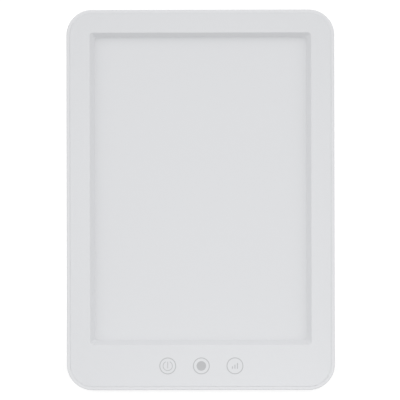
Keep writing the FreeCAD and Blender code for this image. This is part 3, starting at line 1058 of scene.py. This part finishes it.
@dataclass
class HousingAssembly:
    """The moulded back: its rim, walls and soft back edge, and all that is cut into its back."""

    body: Body
    placement: Placement
    rim_round: float = 0.65
    rim_slope: Place = (0.5, 0.12)
    inner_bevel: float = 3.0
    recess_half_top: float = 28.1
    recess_half_low: float = 22.6
    recess_floor: float = 15.8
    recess_wall: float = 1.8
    barrel_room: float = 3.3
    heel_half: float = 20.4
    heel_room: float = 8.056
    stop_plane: float = -0.8
    mouth_round: float = 0.35
    small_flare: float = 0.3
    post_radius: float = 3.6
    post_front: float = 12.0
    foot_back_half: float = 15.15
    foot_back: Place = (0.5, 4.5)
    foot_back_front: float = 11.0
    foot_back_depth: float = 9.0
    foot_room: float = 0.1
    vent_count: int = 11
    vent_pitch: float = 6.0
    vent_half: float = 1.1
    vent_reach: float = 12.0
    vent_z: float = 178.0
    port_x: float = 60.0
    port_z: float = 30.0
    port_radius: float = 4.3
    port_depth: float = 4.0
    port_flare: float = 0.2
    dish_radius: float = 8.0
    dish_depth: float = 0.7
    sink_radius: float = 2.5
    sink_floor: float = 17.0
    finish: Finish = MouldedPlastic(
        "textured_housing", (0.745, 0.752, 0.767), roughness=0.42, cell=0.42, depth=0.03, mottle_and_pit_shade=0.018)

    def build(self) -> bpy.types.Object:
        """Builds and dresses the housing.

        Returns:
            The housing.
        """
        shell = self.outer()
        cavity = self.cavity()
        for wall in self.walls():
            carve(cavity, wall, Carve.TAKE)
        carve(shell, cavity, Carve.TAKE)
        for cutter in self.cutters():
            carve(shell, cutter, Carve.TAKE)
        shell.name = "housing_shell"
        shell.data.name = "housing_shell"
        settle(shell, self.placement)
        dress(shell, self.finish.make(self.placement))
        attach(shell, "lamp_body")
        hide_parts("rear_housing")
        return shell

    def shaped(self, name: str, rows: Sequence[Place]) -> bpy.types.Object:
        """Draws a closed mesh of the body's outline from rows of (inset, depth)."""
        outline = self.body.outline()
        return Sketch().loft([outline.inset(inset).loop(depth, 20) for inset, depth in rows]).build(name)

    def outer(self) -> bpy.types.Object:
        """Draws the solid outside, from the rim to the back face.

        Returns:
            The closed mesh.
        """
        front, edge = self.rim_round, self.body.back_edge
        rows = arc((front, self.body.rim_setback + front), front, 270.0, 180.0, 8)
        return self.shaped("outer", rows + arc((edge, self.body.depth - edge), edge, 180.0, 90.0, 14))

    def cavity(self) -> bpy.types.Object:
        """Draws the space inside, open at the front.

        Returns:
            The closed mesh.
        """
        wall, front = self.body.wall, self.body.rim_setback
        wide, deep = self.rim_slope
        inner_back = self.body.depth - self.body.back_wall
        rows = [(wall - wide, -CLEAR), (wall - wide, front)]
        rows += [(wall - wide * 0.3, front + deep * 0.6), (wall, front + deep)]
        rows += [(wall, inner_back - self.inner_bevel), (wall + self.inner_bevel, inner_back)]
        return self.shaped("cavity", rows)

    def recess_points(self, grow: float, low: float, depth: float) -> Loop:
        """The leg recess's outline up to the hinge.

        Args:
            grow: How much larger than the recess it is.
            low: Its lower end.
            depth: How far behind the front face it is.

        Returns:
            The corners.
        """
        slope = (self.recess_half_top - self.recess_half_low) / self.body.shoulder
        half_low = self.recess_half_low + slope * low + grow
        half_top = self.recess_half_top + grow
        right = [(half_low, low), (half_top, self.body.shoulder), (half_top, self.body.hinge_z)]
        return [Vector((x, depth, z)) for x, z in mirrored(right)]

    def hinge_prism(self, points: Sequence[Place], half: float) -> bpy.types.Object:
        """A prism across the lamp, on a section round the hinge.

        Args:
            points: The section as (depth, height) from the hinge.
            half: Half its length.

        Returns:
            The closed mesh.
        """
        y, z = self.body.hinge_y, self.body.hinge_z
        corners = [Vector((-half, y + depth, z + height)) for depth, height in points]
        return Sketch().prism(corners, Vector((2 * half, 0.0, 0.0))).build("hinge_prism")

    def heel_section(self, grow: float) -> list[Place]:
        """The section of the room that the heel swings through.

        Args:
            grow: How much larger than the room it is.

        Returns:
            Its (depth, height) corners from the hinge.
        """
        turn = self.body.open_angle
        plane = self.stop_plane - grow
        radius = self.heel_room + grow

        def turned(across: float, up: float) -> Place:
            """A point of the folded leg's frame, with the leg open."""
            cos, sin = math.cos(turn), math.sin(turn)
            return (across * cos - up * sin, across * sin + up * cos)

        start = turned(plane, -plane * math.tan(turn))
        top = turned(plane, math.sqrt(radius * radius - plane * plane))
        first = math.degrees(math.atan2(top[1], top[0]))
        return [start] + arc((0.0, 0.0), radius, first, 0.0, 24)

    def walls(self) -> list[bpy.types.Object]:
        """Draws the moulded walls round the recess and the hinge.

        Returns:
            Closed meshes that the cavity keeps clear of.
        """
        back = self.body.depth + CLEAR
        grow = self.recess_wall
        low = self.recess_points(grow, -CLEAR, self.recess_floor - grow)
        pocket = Sketch().prism(low, Vector((0.0, back - self.recess_floor + grow, 0.0))).build("pocket")
        barrel = self.hinge_prism(ring(self.barrel_room + grow, 36), self.recess_half_top + grow)
        heel = self.hinge_prism(self.heel_section(grow), self.heel_half + grow)
        posts, feet = Sketch(), Sketch()
        for x, z in self.body.screw_places():
            posts.loft([circle(x, z, self.post_radius, depth) for depth in (self.post_front, back)])
        for side in Side:
            middle, half = side.value * self.body.foot_middle, self.foot_back_half
            corners = rectangle(middle - half, middle + half, *self.foot_back)
            front = [Vector((x, self.foot_back_front, z)) for x, z in corners]
            feet.prism(front, Vector((0.0, self.foot_back_depth, 0.0)))
        return [pocket, barrel, heel, posts.build("posts"), feet.build("foot_backs")]

    def cutters(self) -> list[bpy.types.Object]:
        """Draws everything that is cut into the back.

        Returns:
            Closed meshes, in the order that they cut.
        """
        body, back = self.body, self.body.depth
        round_in, small = self.mouth_round, self.small_flare
        rows = [(0.0, self.recess_floor), (0.0, back - round_in), (round_in * 0.3, back - round_in * 0.3),
                (round_in, back), (round_in, back + CLEAR)]
        out, up = back + CLEAR - body.hinge_y, self.barrel_room
        recess = Sketch().loft([self.recess_points(grow, body.over_long, depth) for grow, depth in rows])
        found = [
            recess.build("recess"),
            self.hinge_prism(ring(self.barrel_room, 48), self.recess_half_top),
            self.hinge_prism(self.heel_section(0.0), self.heel_half),
            self.hinge_prism(rectangle(0.0, out, 0.0, up), self.recess_half_top),
        ]
        first = -(self.vent_count - 1) / 2 * self.vent_pitch
        vents = [slot(first + index * self.vent_pitch, self.vent_z, self.vent_half, self.vent_reach)
                 for index in range(self.vent_count)]
        dish = round_hole(self.port_x, self.port_z, self.dish_radius)
        port = round_hole(self.port_x, self.port_z, self.port_radius)
        sinks = [round_hole(x, z, self.sink_radius) for x, z in body.screw_places()]
        dish_floor = back - self.dish_depth
        for name, holes, floor, mouth, flare in (
                ("vents", vents, back - body.back_wall - CLEAR, back, small),
                ("dish", [dish], dish_floor, back, small),
                ("port", [port], back - self.port_depth, dish_floor, self.port_flare),
                ("sinks", sinks, self.sink_floor, back, small)):
            sketch = Sketch()
            for hole in holes:
                sketch.loft(flared(hole, floor, mouth, flare))
            found.append(sketch.build(name))
        pockets = Sketch()
        for side in Side:
            levels = (body.table_level - 2 * CLEAR, body.foot_top)
            pockets.loft(body.foot_loops(side, [(-self.foot_room, level) for level in levels]))
        return found + [pockets.build("foot_pockets")]


@dataclass
class StandAssembly:
    """The folding leg: a ribbed plate with its barrel and heel, and a rubber shoe on its end."""

    body: Body
    placement: Placement
    half_top: float = 27.5
    half_foot: float = 22.0
    side_round: float = 1.2
    small_round: float = 0.3
    barrel_radius: float = 3.0
    heel_half: float = 20.0
    heel_top: float = 7.0
    heel_low: float = -1.0
    heel_round: float = 1.0
    end_bevel: float = 0.25
    end_share: float = 0.93
    pin_room: float = 1.05
    pocket_low: float = 14.0
    pocket_high: float = 123.0
    pocket_rows: int = 4
    pocket_floor: float = 18.3
    edge_wall: float = 2.2
    rib: float = 1.4
    shoe_height: float = 7.0
    shoe_gap: float = 0.12
    below: float = 40.0
    slab_half: float = 60.0
    slab_back: float = 200.0
    groove_count: int = 4
    groove_low: float = 1.4
    groove_half: float = 45.0
    groove_pitch: float = 1.3
    groove_width: float = 0.45
    groove_depth: float = 0.3
    leg_finish: Finish = MouldedPlastic(
        "textured_leg", (0.740, 0.747, 0.762), roughness=0.42, cell=0.42, depth=0.03, mottle_and_pit_shade=0.018)
    shoe_finish: Finish = SoftRubber("shoe_rubber", (0.16, 0.165, 0.17))
    pin_finish: Finish = TurnedMetal("pin_steel", (0.62, 0.62, 0.63), roughness=0.3)

    def build(self, nodes: dict[str, bpy.types.Object]) -> list[bpy.types.Object]:
        """Builds and dresses the stand.

        Args:
            nodes: The CAD nodes by name.

        Returns:
            New pieces.
        """
        leg, shoe = self.leg(), self.shoe()
        for piece, finish, node, slot_name in ((leg, self.leg_finish, "stand_leg", "housing_plastic"),
                                               (shoe, self.shoe_finish, "stand_foot_pad", "foot_rubber")):
            settle(piece, self.placement)
            dress(piece, finish.make(self.placement))
            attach(piece, "stand")
            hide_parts(node)
        dress(nodes["hinge_pin"], self.pin_finish.make(self.placement))
        return [leg, shoe]

    def half_at(self, z: float) -> float:
        """Half the leg's width at a height."""
        return self.half_foot + (self.half_top - self.half_foot) * min(z / self.body.shoulder, 1.0)

    def plate(self, name: str) -> bpy.types.Object:
        """Draws the folded leg's plate, over-long at the foot, with round edges down its sides.

        Args:
            name: The object's name.

        Returns:
            The closed mesh.
        """
        body, small, large = self.body, self.small_round, self.side_round
        rows = arc((small, body.leg_inner + small), small, 270.0, 180.0, 3)
        rows += arc((large, body.leg_outer - large), large, 180.0, 90.0, 8)
        loops = []
        for inset, depth in rows:
            right = [(self.half_at(z) - inset, z) for z in (body.over_long, body.shoulder, body.hinge_z)]
            loops.append([Vector((x, depth, z)) for x, z in mirrored(right)])
        return Sketch().loft(loops).build(name)

    def across(self, section: Sequence[Place], half: float, name: str) -> bpy.types.Object:
        """Draws a prism across the leg with bevelled ends.

        Args:
            section: Its (depth, height) corners, from the hinge.
            half: Half its length.
            name: The object's name.

        Returns:
            The closed mesh.
        """
        y, z = self.body.hinge_y, self.body.hinge_z
        a, b = (sum(values) / len(section) for values in zip(*section))
        inner = half - self.end_bevel
        loops = []
        for x, size in ((-half, self.end_share), (-inner, 1.0), (inner, 1.0), (half, self.end_share)):
            scaled = [(y + a + (depth - a) * size, z + b + (height - b) * size) for depth, height in section]
            loops.append([Vector((x, *point)) for point in scaled])
        return Sketch().loft(loops).build(name)

    def pockets(self) -> bpy.types.Object:
        """Draws the hollows between the ribs of the leg's inner side.

        Returns:
            The closed meshes as one object.
        """
        sketch = Sketch()
        step = (self.pocket_high - self.pocket_low) / self.pocket_rows
        half_rib, small, inner = self.rib / 2, self.small_round, self.body.leg_inner
        rows = ((0.0, self.pocket_floor), (0.0, inner + small), (small, inner), (small, inner - CLEAR))
        for index in range(self.pocket_rows):
            low = self.pocket_low + index * step + (half_rib if index else 0.0)
            high = self.pocket_low + (index + 1) * step - (half_rib if index < self.pocket_rows - 1 else 0.0)
            far_low, far_high = self.half_at(low) - self.edge_wall, self.half_at(high) - self.edge_wall
            for side in Side:
                loops = []
                for grow, depth in rows:
                    near = half_rib - grow
                    corners = ((near, low - grow), (far_low + grow, low - grow),
                               (far_high + grow, high + grow), (near, high + grow))
                    loops.append([Vector((side.value * x, depth, z)) for x, z in corners])
                sketch.loft(loops)
        return sketch.build("pockets")

    def level_block(self, low: float, high: float, name: str) -> bpy.types.Object:
        """Draws a wide block level with the table.

        Args:
            low: Its lower height.
            high: Its upper height.
            name: The object's name.

        Returns:
            The closed mesh, in the upright frame.
        """
        turn = Placement.from_table()
        half, back = self.slab_half, self.slab_back
        lower = [turn @ Vector((x, y, low)) for x, y in rectangle(-half, half, -half, back)]
        return Sketch().prism(lower, turn @ Vector((0.0, 0.0, high - low))).build(name)

    def opened(self, piece: bpy.types.Object) -> bpy.types.Object:
        """Turns a piece of the folded leg to where it stands when the leg is open.

        Args:
            piece: The object.

        Returns:
            The same object.
        """
        hinge = Matrix.Translation(Vector((0.0, self.body.hinge_y, self.body.hinge_z)))
        piece.data.transform(hinge @ Matrix.Rotation(self.body.open_angle, 4, "X") @ hinge.inverted())
        return piece

    def leg(self) -> bpy.types.Object:
        """Draws the leg.

        Returns:
            The closed mesh, in the upright frame.
        """
        front, back = self.body.leg_inner - self.body.hinge_y, self.body.leg_outer - self.body.hinge_y
        small, large, top, low = self.small_round, self.heel_round, self.heel_top, self.heel_low
        heel = [(front, low), (front, top - small), (front + small, top)]
        heel += arc((back - large, top - large), large, 90.0, 0.0, 6) + [(back, low)]
        leg = self.plate("leg_shell")
        carve(leg, self.across(ring(self.barrel_radius, 48), self.half_top, "barrel"), Carve.ADD)
        carve(leg, self.across(heel, self.heel_half, "heel"), Carve.ADD)
        carve(leg, self.pockets(), Carve.TAKE)
        carve(leg, self.across(ring(self.pin_room, 24), self.half_top + 2 * CLEAR, "pin_hole"), Carve.TAKE)
        self.opened(leg)
        level = self.body.table_level
        sole = self.level_block(level - self.below, level + self.shoe_height + self.shoe_gap, "under_leg")
        carve(leg, sole, Carve.TAKE)
        return leg

    def shoe(self) -> bpy.types.Object:
        """Draws the rubber shoe, with grip lines round its back.

        Returns:
            The closed mesh, in the upright frame.
        """
        shoe = self.opened(self.plate("shoe_shell"))
        level = self.body.table_level
        carve(shoe, self.level_block(level, level + self.shoe_height, "shoe_slice"), Carve.KEEP)
        lines = Sketch()
        for index in range(self.groove_count):
            section = self.groove_section(level + self.groove_low + index * self.groove_pitch)
            lines.prism(section, Vector((2 * self.groove_half, 0.0, 0.0)))
        carve(shoe, lines.build("grip_lines"), Carve.TAKE)
        return shoe

    def groove_section(self, low: float) -> Loop:
        """The section of one grip line on the open leg's outer face.

        Args:
            low: Its height over the drawing's origin, level with the table.

        Returns:
            The corners at the left end.
        """
        turn = Matrix.Rotation(self.body.open_angle, 3, "X")
        out, down = turn @ Vector((0.0, 1.0, 0.0)), turn @ Vector((0.0, 0.0, 1.0))
        up = Placement.from_table() @ Vector((0.0, 0.0, 1.0))
        hinge = Vector((0.0, self.body.hinge_y, self.body.hinge_z))
        face = hinge + out * (self.body.leg_outer - self.groove_depth - self.body.hinge_y)
        start = face + down * ((low - face.dot(up)) / down.dot(up))
        ahead = down * (self.groove_width / down.dot(up))
        left, clear = Vector((-self.groove_half, 0.0, 0.0)), out * (2 * CLEAR)
        return [left + point for point in (start, start + ahead, start + ahead + clear, start + clear)]


@dataclass
class SmallParts:
    """The cover screws and the two base feet."""

    body: Body
    placement: Placement
    head_radius: float = 2.3
    head_top: float = 18.55
    head_edge: float = 18.15
    dome_step: float = 15.0
    seat: float = 17.0
    shank_radius: float = 1.2
    tip: float = 5.0
    tip_radius: float = 0.3
    tip_length: float = 1.5
    cross_reach: float = 1.35
    cross_half: float = 0.3
    cross_floor: float = 17.7
    cross_taper: float = 0.7
    foot_round: float = 0.35
    screw_finish: Finish = TurnedMetal("cover_screw_steel", (0.58, 0.58, 0.59), roughness=0.3, line=0.1)
    foot_finish: Finish = SoftRubber("base_foot_rubber", (0.16, 0.165, 0.17))

    def build(self) -> list[bpy.types.Object]:
        """Builds and dresses the small parts.

        Returns:
            New pieces.
        """
        pieces = [self.screws()]
        rubber = self.foot_finish.make(self.placement)
        for side in Side:
            foot = self.foot(side)
            dress(foot, rubber)
            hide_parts("base_foot_" + side.name.lower())
            pieces.append(foot)
        for piece in pieces:
            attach(piece, "lamp_body")
        return pieces

    def screws(self) -> bpy.types.Object:
        """Draws the four cover screws, with domed heads and a cross in each.

        Returns:
            The screws as one object.
        """
        shank, head, dome = self.shank_radius, self.head_radius, self.head_top - self.head_edge
        profile = [(self.tip_radius, self.tip), (shank, self.tip + self.tip_length), (shank, self.seat)]
        profile += [(head, self.seat), (head, self.head_edge)]
        for step in range(1, 6):
            angle = math.radians(self.dome_step * step)
            profile.append((head * math.cos(angle), self.head_edge + dome * math.sin(angle)))
        long, short = self.cross_reach, self.cross_half
        corner = ((long, short), (short, short), (short, long))
        corners = list(corner) + [(-x, z) for x, z in reversed(corner)]
        corners += [(-x, -z) for x, z in corner] + [(x, -z) for x, z in reversed(corner)]
        ends = ((self.cross_taper, self.cross_floor), (1.0, self.head_top + CLEAR / 2))
        heads, crosses = Sketch(), Sketch()
        for x, z in self.body.screw_places():
            heads.loft([circle(x, z, radius, depth, 40) for radius, depth in profile])
            crosses.loft([[Vector((x + a * size, depth, z + b * size)) for a, b in corners]
                          for size, depth in ends])
        made = heads.build("cover_screw_set")
        carve(made, crosses.build("crosses"), Carve.TAKE)
        settle(made, self.placement)
        dress(made, self.screw_finish.make(self.placement))
        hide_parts("cover_screws")
        return made

    def foot(self, side: Side) -> bpy.types.Object:
        """Draws a base foot: a long pad with round ends and a soft lower edge.

        Args:
            side: Which foot it is.

        Returns:
            The foot.
        """
        small, low = self.foot_round, self.body.table_level
        rows = [(inset, low + height) for inset, height in arc((small, small), small, 270.0, 180.0, 5)]
        sketch = Sketch().loft(self.body.foot_loops(side, rows + [(0.0, self.body.foot_top)]))
        return sketch.build("base_pad_" + side.name.lower(), self.placement)


@dataclass
class InnerWorks:
    """Everything that the closed housing hides, and the small parts that show at the back."""

    placement: Placement
    finishes: dict[str, Finish] = field(default_factory=lambda: {
        "prism_film": ClearSheet("prism_film", (0.93, 0.94, 0.95), pitch=0.4),
        "light_guide_plate": ClearSheet("light_guide", (0.95, 0.96, 0.96), pitch=2.5, clear=0.95),
        "reflector_sheet": MouldedPlastic(
            "white_film", (0.86, 0.86, 0.86), roughness=0.55, cell=0.2, depth=0.002),
        "heat_spreader": TurnedMetal("sheet_aluminium", (0.78, 0.79, 0.8), roughness=0.35),
        "optic_frame": MouldedPlastic(
            "frame_plastic", (0.8, 0.8, 0.79), roughness=0.5, cell=0.4, depth=0.01),
        "light_strip": CircuitBoard(
            "strip_board", (0.8, 0.8, 0.78), run_colour=(0.7, 0.7, 0.66), pitch=1.4),
        "light_chips": MouldedPlastic(
            "led_package", (0.85, 0.74, 0.35), roughness=0.25, cell=0.3, depth=0.004),
        "foam_strips": SoftRubber("grey_foam", (0.18, 0.18, 0.19), cell=0.5, depth=0.08, roughness=0.9),
        "insulator_sheet": MouldedPlastic(
            "insulating_film", (0.62, 0.6, 0.52), roughness=0.3, cell=0.6, depth=0.003),
        "board": CircuitBoard("green_board", (0.02, 0.13, 0.05), run_colour=(0.04, 0.24, 0.1), pitch=1.1),
        "input_capacitors": MouldedPlastic(
            "capacitor_sleeve", (0.03, 0.035, 0.06), roughness=0.3, cell=0.4, depth=0.004),
        "black_parts": MouldedPlastic(
            "component_black", (0.02, 0.02, 0.022), roughness=0.45, cell=0.25, depth=0.01),
        "ribbon_sockets": MouldedPlastic(
            "socket_cream", (0.74, 0.7, 0.58), roughness=0.4, cell=0.3, depth=0.006),
        "touch_ribbon": CircuitBoard(
            "ribbon_white", (0.76, 0.77, 0.78), run_colour=(0.5, 0.52, 0.55), pitch=0.5),
        "light_leads": MouldedPlastic(
            "lead_insulation", (0.5, 0.05, 0.04), roughness=0.4, cell=0.5, depth=0.01),
        "dc_jack": MouldedPlastic(
            "jack_black", (0.025, 0.025, 0.028), roughness=0.42, cell=0.25, depth=0.01),
        "dc_jack_pin": TurnedMetal("contact_metal", (0.83, 0.72, 0.45), roughness=0.22),
        "screws": TurnedMetal("screw_steel", (0.56, 0.56, 0.57), roughness=0.32),
        "touch_pads": SoftRubber("touch_foam", (0.1, 0.1, 0.11), cell=0.4, depth=0.05, roughness=0.9),
        "vent_screen": WovenScreen("vent_mesh", (0.05, 0.05, 0.055)),
    })
    shared: dict[str, str] = field(default_factory=lambda: {
        "light_strip_left": "light_strip",
        "light_strip_right": "light_strip",
        "light_chips_left": "light_chips",
        "light_chips_right": "light_chips",
        "driver_board": "board",
        "touch_board": "board",
        "power_inductor": "black_parts",
        "driver_chips": "black_parts",
        "touch_chip": "black_parts",
        "board_screws": "screws",
    })

    def build(self, nodes: dict[str, bpy.types.Object], done: set[str]) -> None:
        """Dresses the nodes that no other assembly dresses.

        Args:
            nodes: The CAD nodes by name.
            done: The nodes that already have their finish.
        """
        made = {key: finish.make(self.placement) for key, finish in self.finishes.items()}
        for name in sorted(set(nodes) - done):
            material = made[self.shared.get(name, name)]
            dress(nodes[name], material)
            LOG.info("%s takes %s", name, material.name)


@dataclass
class Studio:
    """The camera, the lamps, the floor and the pale surroundings."""

    placement: Placement
    lens: float = 150.0
    sensor: float = 36.0
    clip: Place = (0.05, 50.0)
    span: float = 241.6
    aim_x: float = -0.36
    aim_z: float = 114.88
    roll: float = math.radians(0.1)
    surround: float = 0.88
    floor_radius: float = 6.0
    floor_thickness: float = 0.02
    floor_shade: float = 0.5
    floor_cloud: Place = (0.97, 0.06)
    mat_shade: float = 0.75
    mat_reach: Place = (0.06, 0.16)
    floor_glow: float = 1.3
    front_share: float = 0.74
    back_share: float = 0.5
    back_start: Place = (-0.05, 0.01)
    high_strength: float = 0.14
    high_spread: float = math.radians(30.0)
    high_from: Spot = (0.1, -0.57, 0.82)
    target: Spot = (0.0, 0.0, 0.11)
    lamps: tuple[tuple[str, Spot, float, float], ...] = (
        ("front_light", (0.0, -1.05, 0.39), 0.5, 1.67),
        ("low_light", (0.14, -0.48, 0.05), 0.16, 0.125),
        ("back_light", (-0.7, 1.2, 1.0), 1.0, 4.5),
    )

    def build(self) -> None:
        """Sets everything up: the camera, the surroundings, the floor and the lamps."""
        self.camera()
        self.world()
        self.floor()
        high = bpy.data.lights.new("high_light", "SUN")
        high.energy = self.high_strength
        high.angle = self.high_spread
        self.point_down(add_object("high_light", high), -Vector(self.high_from))
        for name, place, size, power in self.lamps:
            soft = bpy.data.lights.new(name, "AREA")
            soft.shape = "DISK"
            soft.size = size
            soft.energy = power
            made = add_object(name, soft)
            made.location = place
            self.point_down(made, Vector(self.target) - Vector(place))
        bpy.context.scene.view_settings.view_transform = "Standard"

    @staticmethod
    def point_down(made: bpy.types.Object, way: Vector) -> None:
        """Turns a light so that it shines a given way."""
        made.rotation_mode = "QUATERNION"
        made.rotation_quaternion = way.to_track_quat("-Z", "Y")

    def camera(self) -> None:
        """Sets the camera square to the lamp's face."""
        data = bpy.data.cameras.new("camera")
        data.lens = self.lens
        data.sensor_width = self.sensor
        data.clip_start, data.clip_end = self.clip
        away = self.span / 2 * self.lens / (self.sensor / 2)
        seat = self.placement.matrix() @ Vector((self.aim_x, -away, self.aim_z))
        facing = Matrix.Rotation(math.pi / 2 - LEAN, 4, "X") @ Matrix.Rotation(-self.roll, 4, "Z")
        made = add_object("camera", data)
        made.matrix_world = Matrix.Translation(seat) @ facing
        bpy.context.scene.camera = made

    def world(self) -> None:
        """Makes the pale surroundings, which the camera and reflections see as white."""
        world = bpy.data.worlds.new("surroundings")
        bpy.context.scene.world = world
        world.use_nodes = True
        shader = Shader(world.node_tree)
        strength = self.surround + shader.seen() * (1.0 - self.surround)
        sky = shader.node("ShaderNodeBackground", None, {"Color": WHITE, "Strength": strength})
        shader.node("ShaderNodeOutputWorld", None, {"Surface": sky})

    def floor(self) -> None:
        """Makes the floor: pale to the light, near white to the camera, and in shadow under the lamp."""
        rows = []
        for height in (-self.floor_thickness, 0.0):
            flat = circle(0.0, 0.0, self.floor_radius, 0.0, 96)
            rows.append([Vector((point.x, point.z, height)) for point in flat])
        piece = Sketch().loft(rows).build("floor")
        material = bpy.data.materials.new("floor_paint")
        material.use_nodes = True
        shader = Shader(material.node_tree)
        where = shader.node("ShaderNodeTexCoord")["Object"]
        far = shader.node("ShaderNodeVectorMath", {"operation": "LENGTH"}, {0: where})["Value"]
        mat = 1.0 - shader.ramp(far, *self.mat_reach)
        cloud = shader.node("ShaderNodeTexNoise", None, {"Vector": where, "Scale": 3.0})
        least, more = self.floor_cloud
        paint = shader.blend(mat * (least + cloud * more), (self.floor_shade,) * 3, (self.mat_shade,) * 3)
        plain = shader.node("ShaderNodeBsdfDiffuse", None, {"Color": paint})
        glow = shader.node("ShaderNodeEmission", None, {"Color": WHITE, "Strength": self.floor_glow})
        depth = shader.node("ShaderNodeSeparateXYZ", None, {0: where})["Y"]
        behind = mat * shader.ramp(depth, *self.back_start)
        share = shader.seen() * (self.front_share + behind * (self.back_share - self.front_share))
        mixed = shader.node("ShaderNodeMixShader", None, {0: share, 1: plain, 2: glow})
        shader.node("ShaderNodeOutputMaterial", None, {"Surface": mixed})
        dress(piece, material)


def placement_of(frame: dict, body: Body) -> Placement:
    """Finds where the upright frame stands, from the hinge.

    Args:
        frame: What the frame's loader returns.
        body: The body's sizes.

    Returns:
        The placement.
    """
    hinge = next(joint for joint in frame["joints"] if joint["name"] == "stand_fold")
    drawn = Matrix.Rotation(-LEAN, 3, "X") @ Vector((0.0, body.hinge_y, body.hinge_z)) * MM
    return Placement(Vector(hinge["pos_m"]) - drawn)


def main() -> None:
    """Builds the lamp's looks round the frame, assembly by assembly."""
    logging.basicConfig(level=logging.INFO, format="%(name)s: %(message)s")
    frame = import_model()
    nodes = frame["nodes"]
    body = Body()
    placement = placement_of(frame, body)
    pieces = FaceAssembly(body, placement).build(nodes)
    pieces.append(HousingAssembly(body, placement).build())
    pieces += StandAssembly(body, placement).build(nodes)
    pieces += SmallParts(body, placement).build()
    for piece in pieces:
        LOG.info("%s has %d faces", piece.name, len(piece.data.polygons))
    done = {"front_bezel", "rear_housing", "diffuser_panel", "stand_leg", "stand_foot_pad", "hinge_pin",
            "cover_screws", "base_foot_left", "base_foot_right"}
    InnerWorks(placement).build(nodes, done)
    Studio(placement).build()


if __name__ == "__main__":
    main()
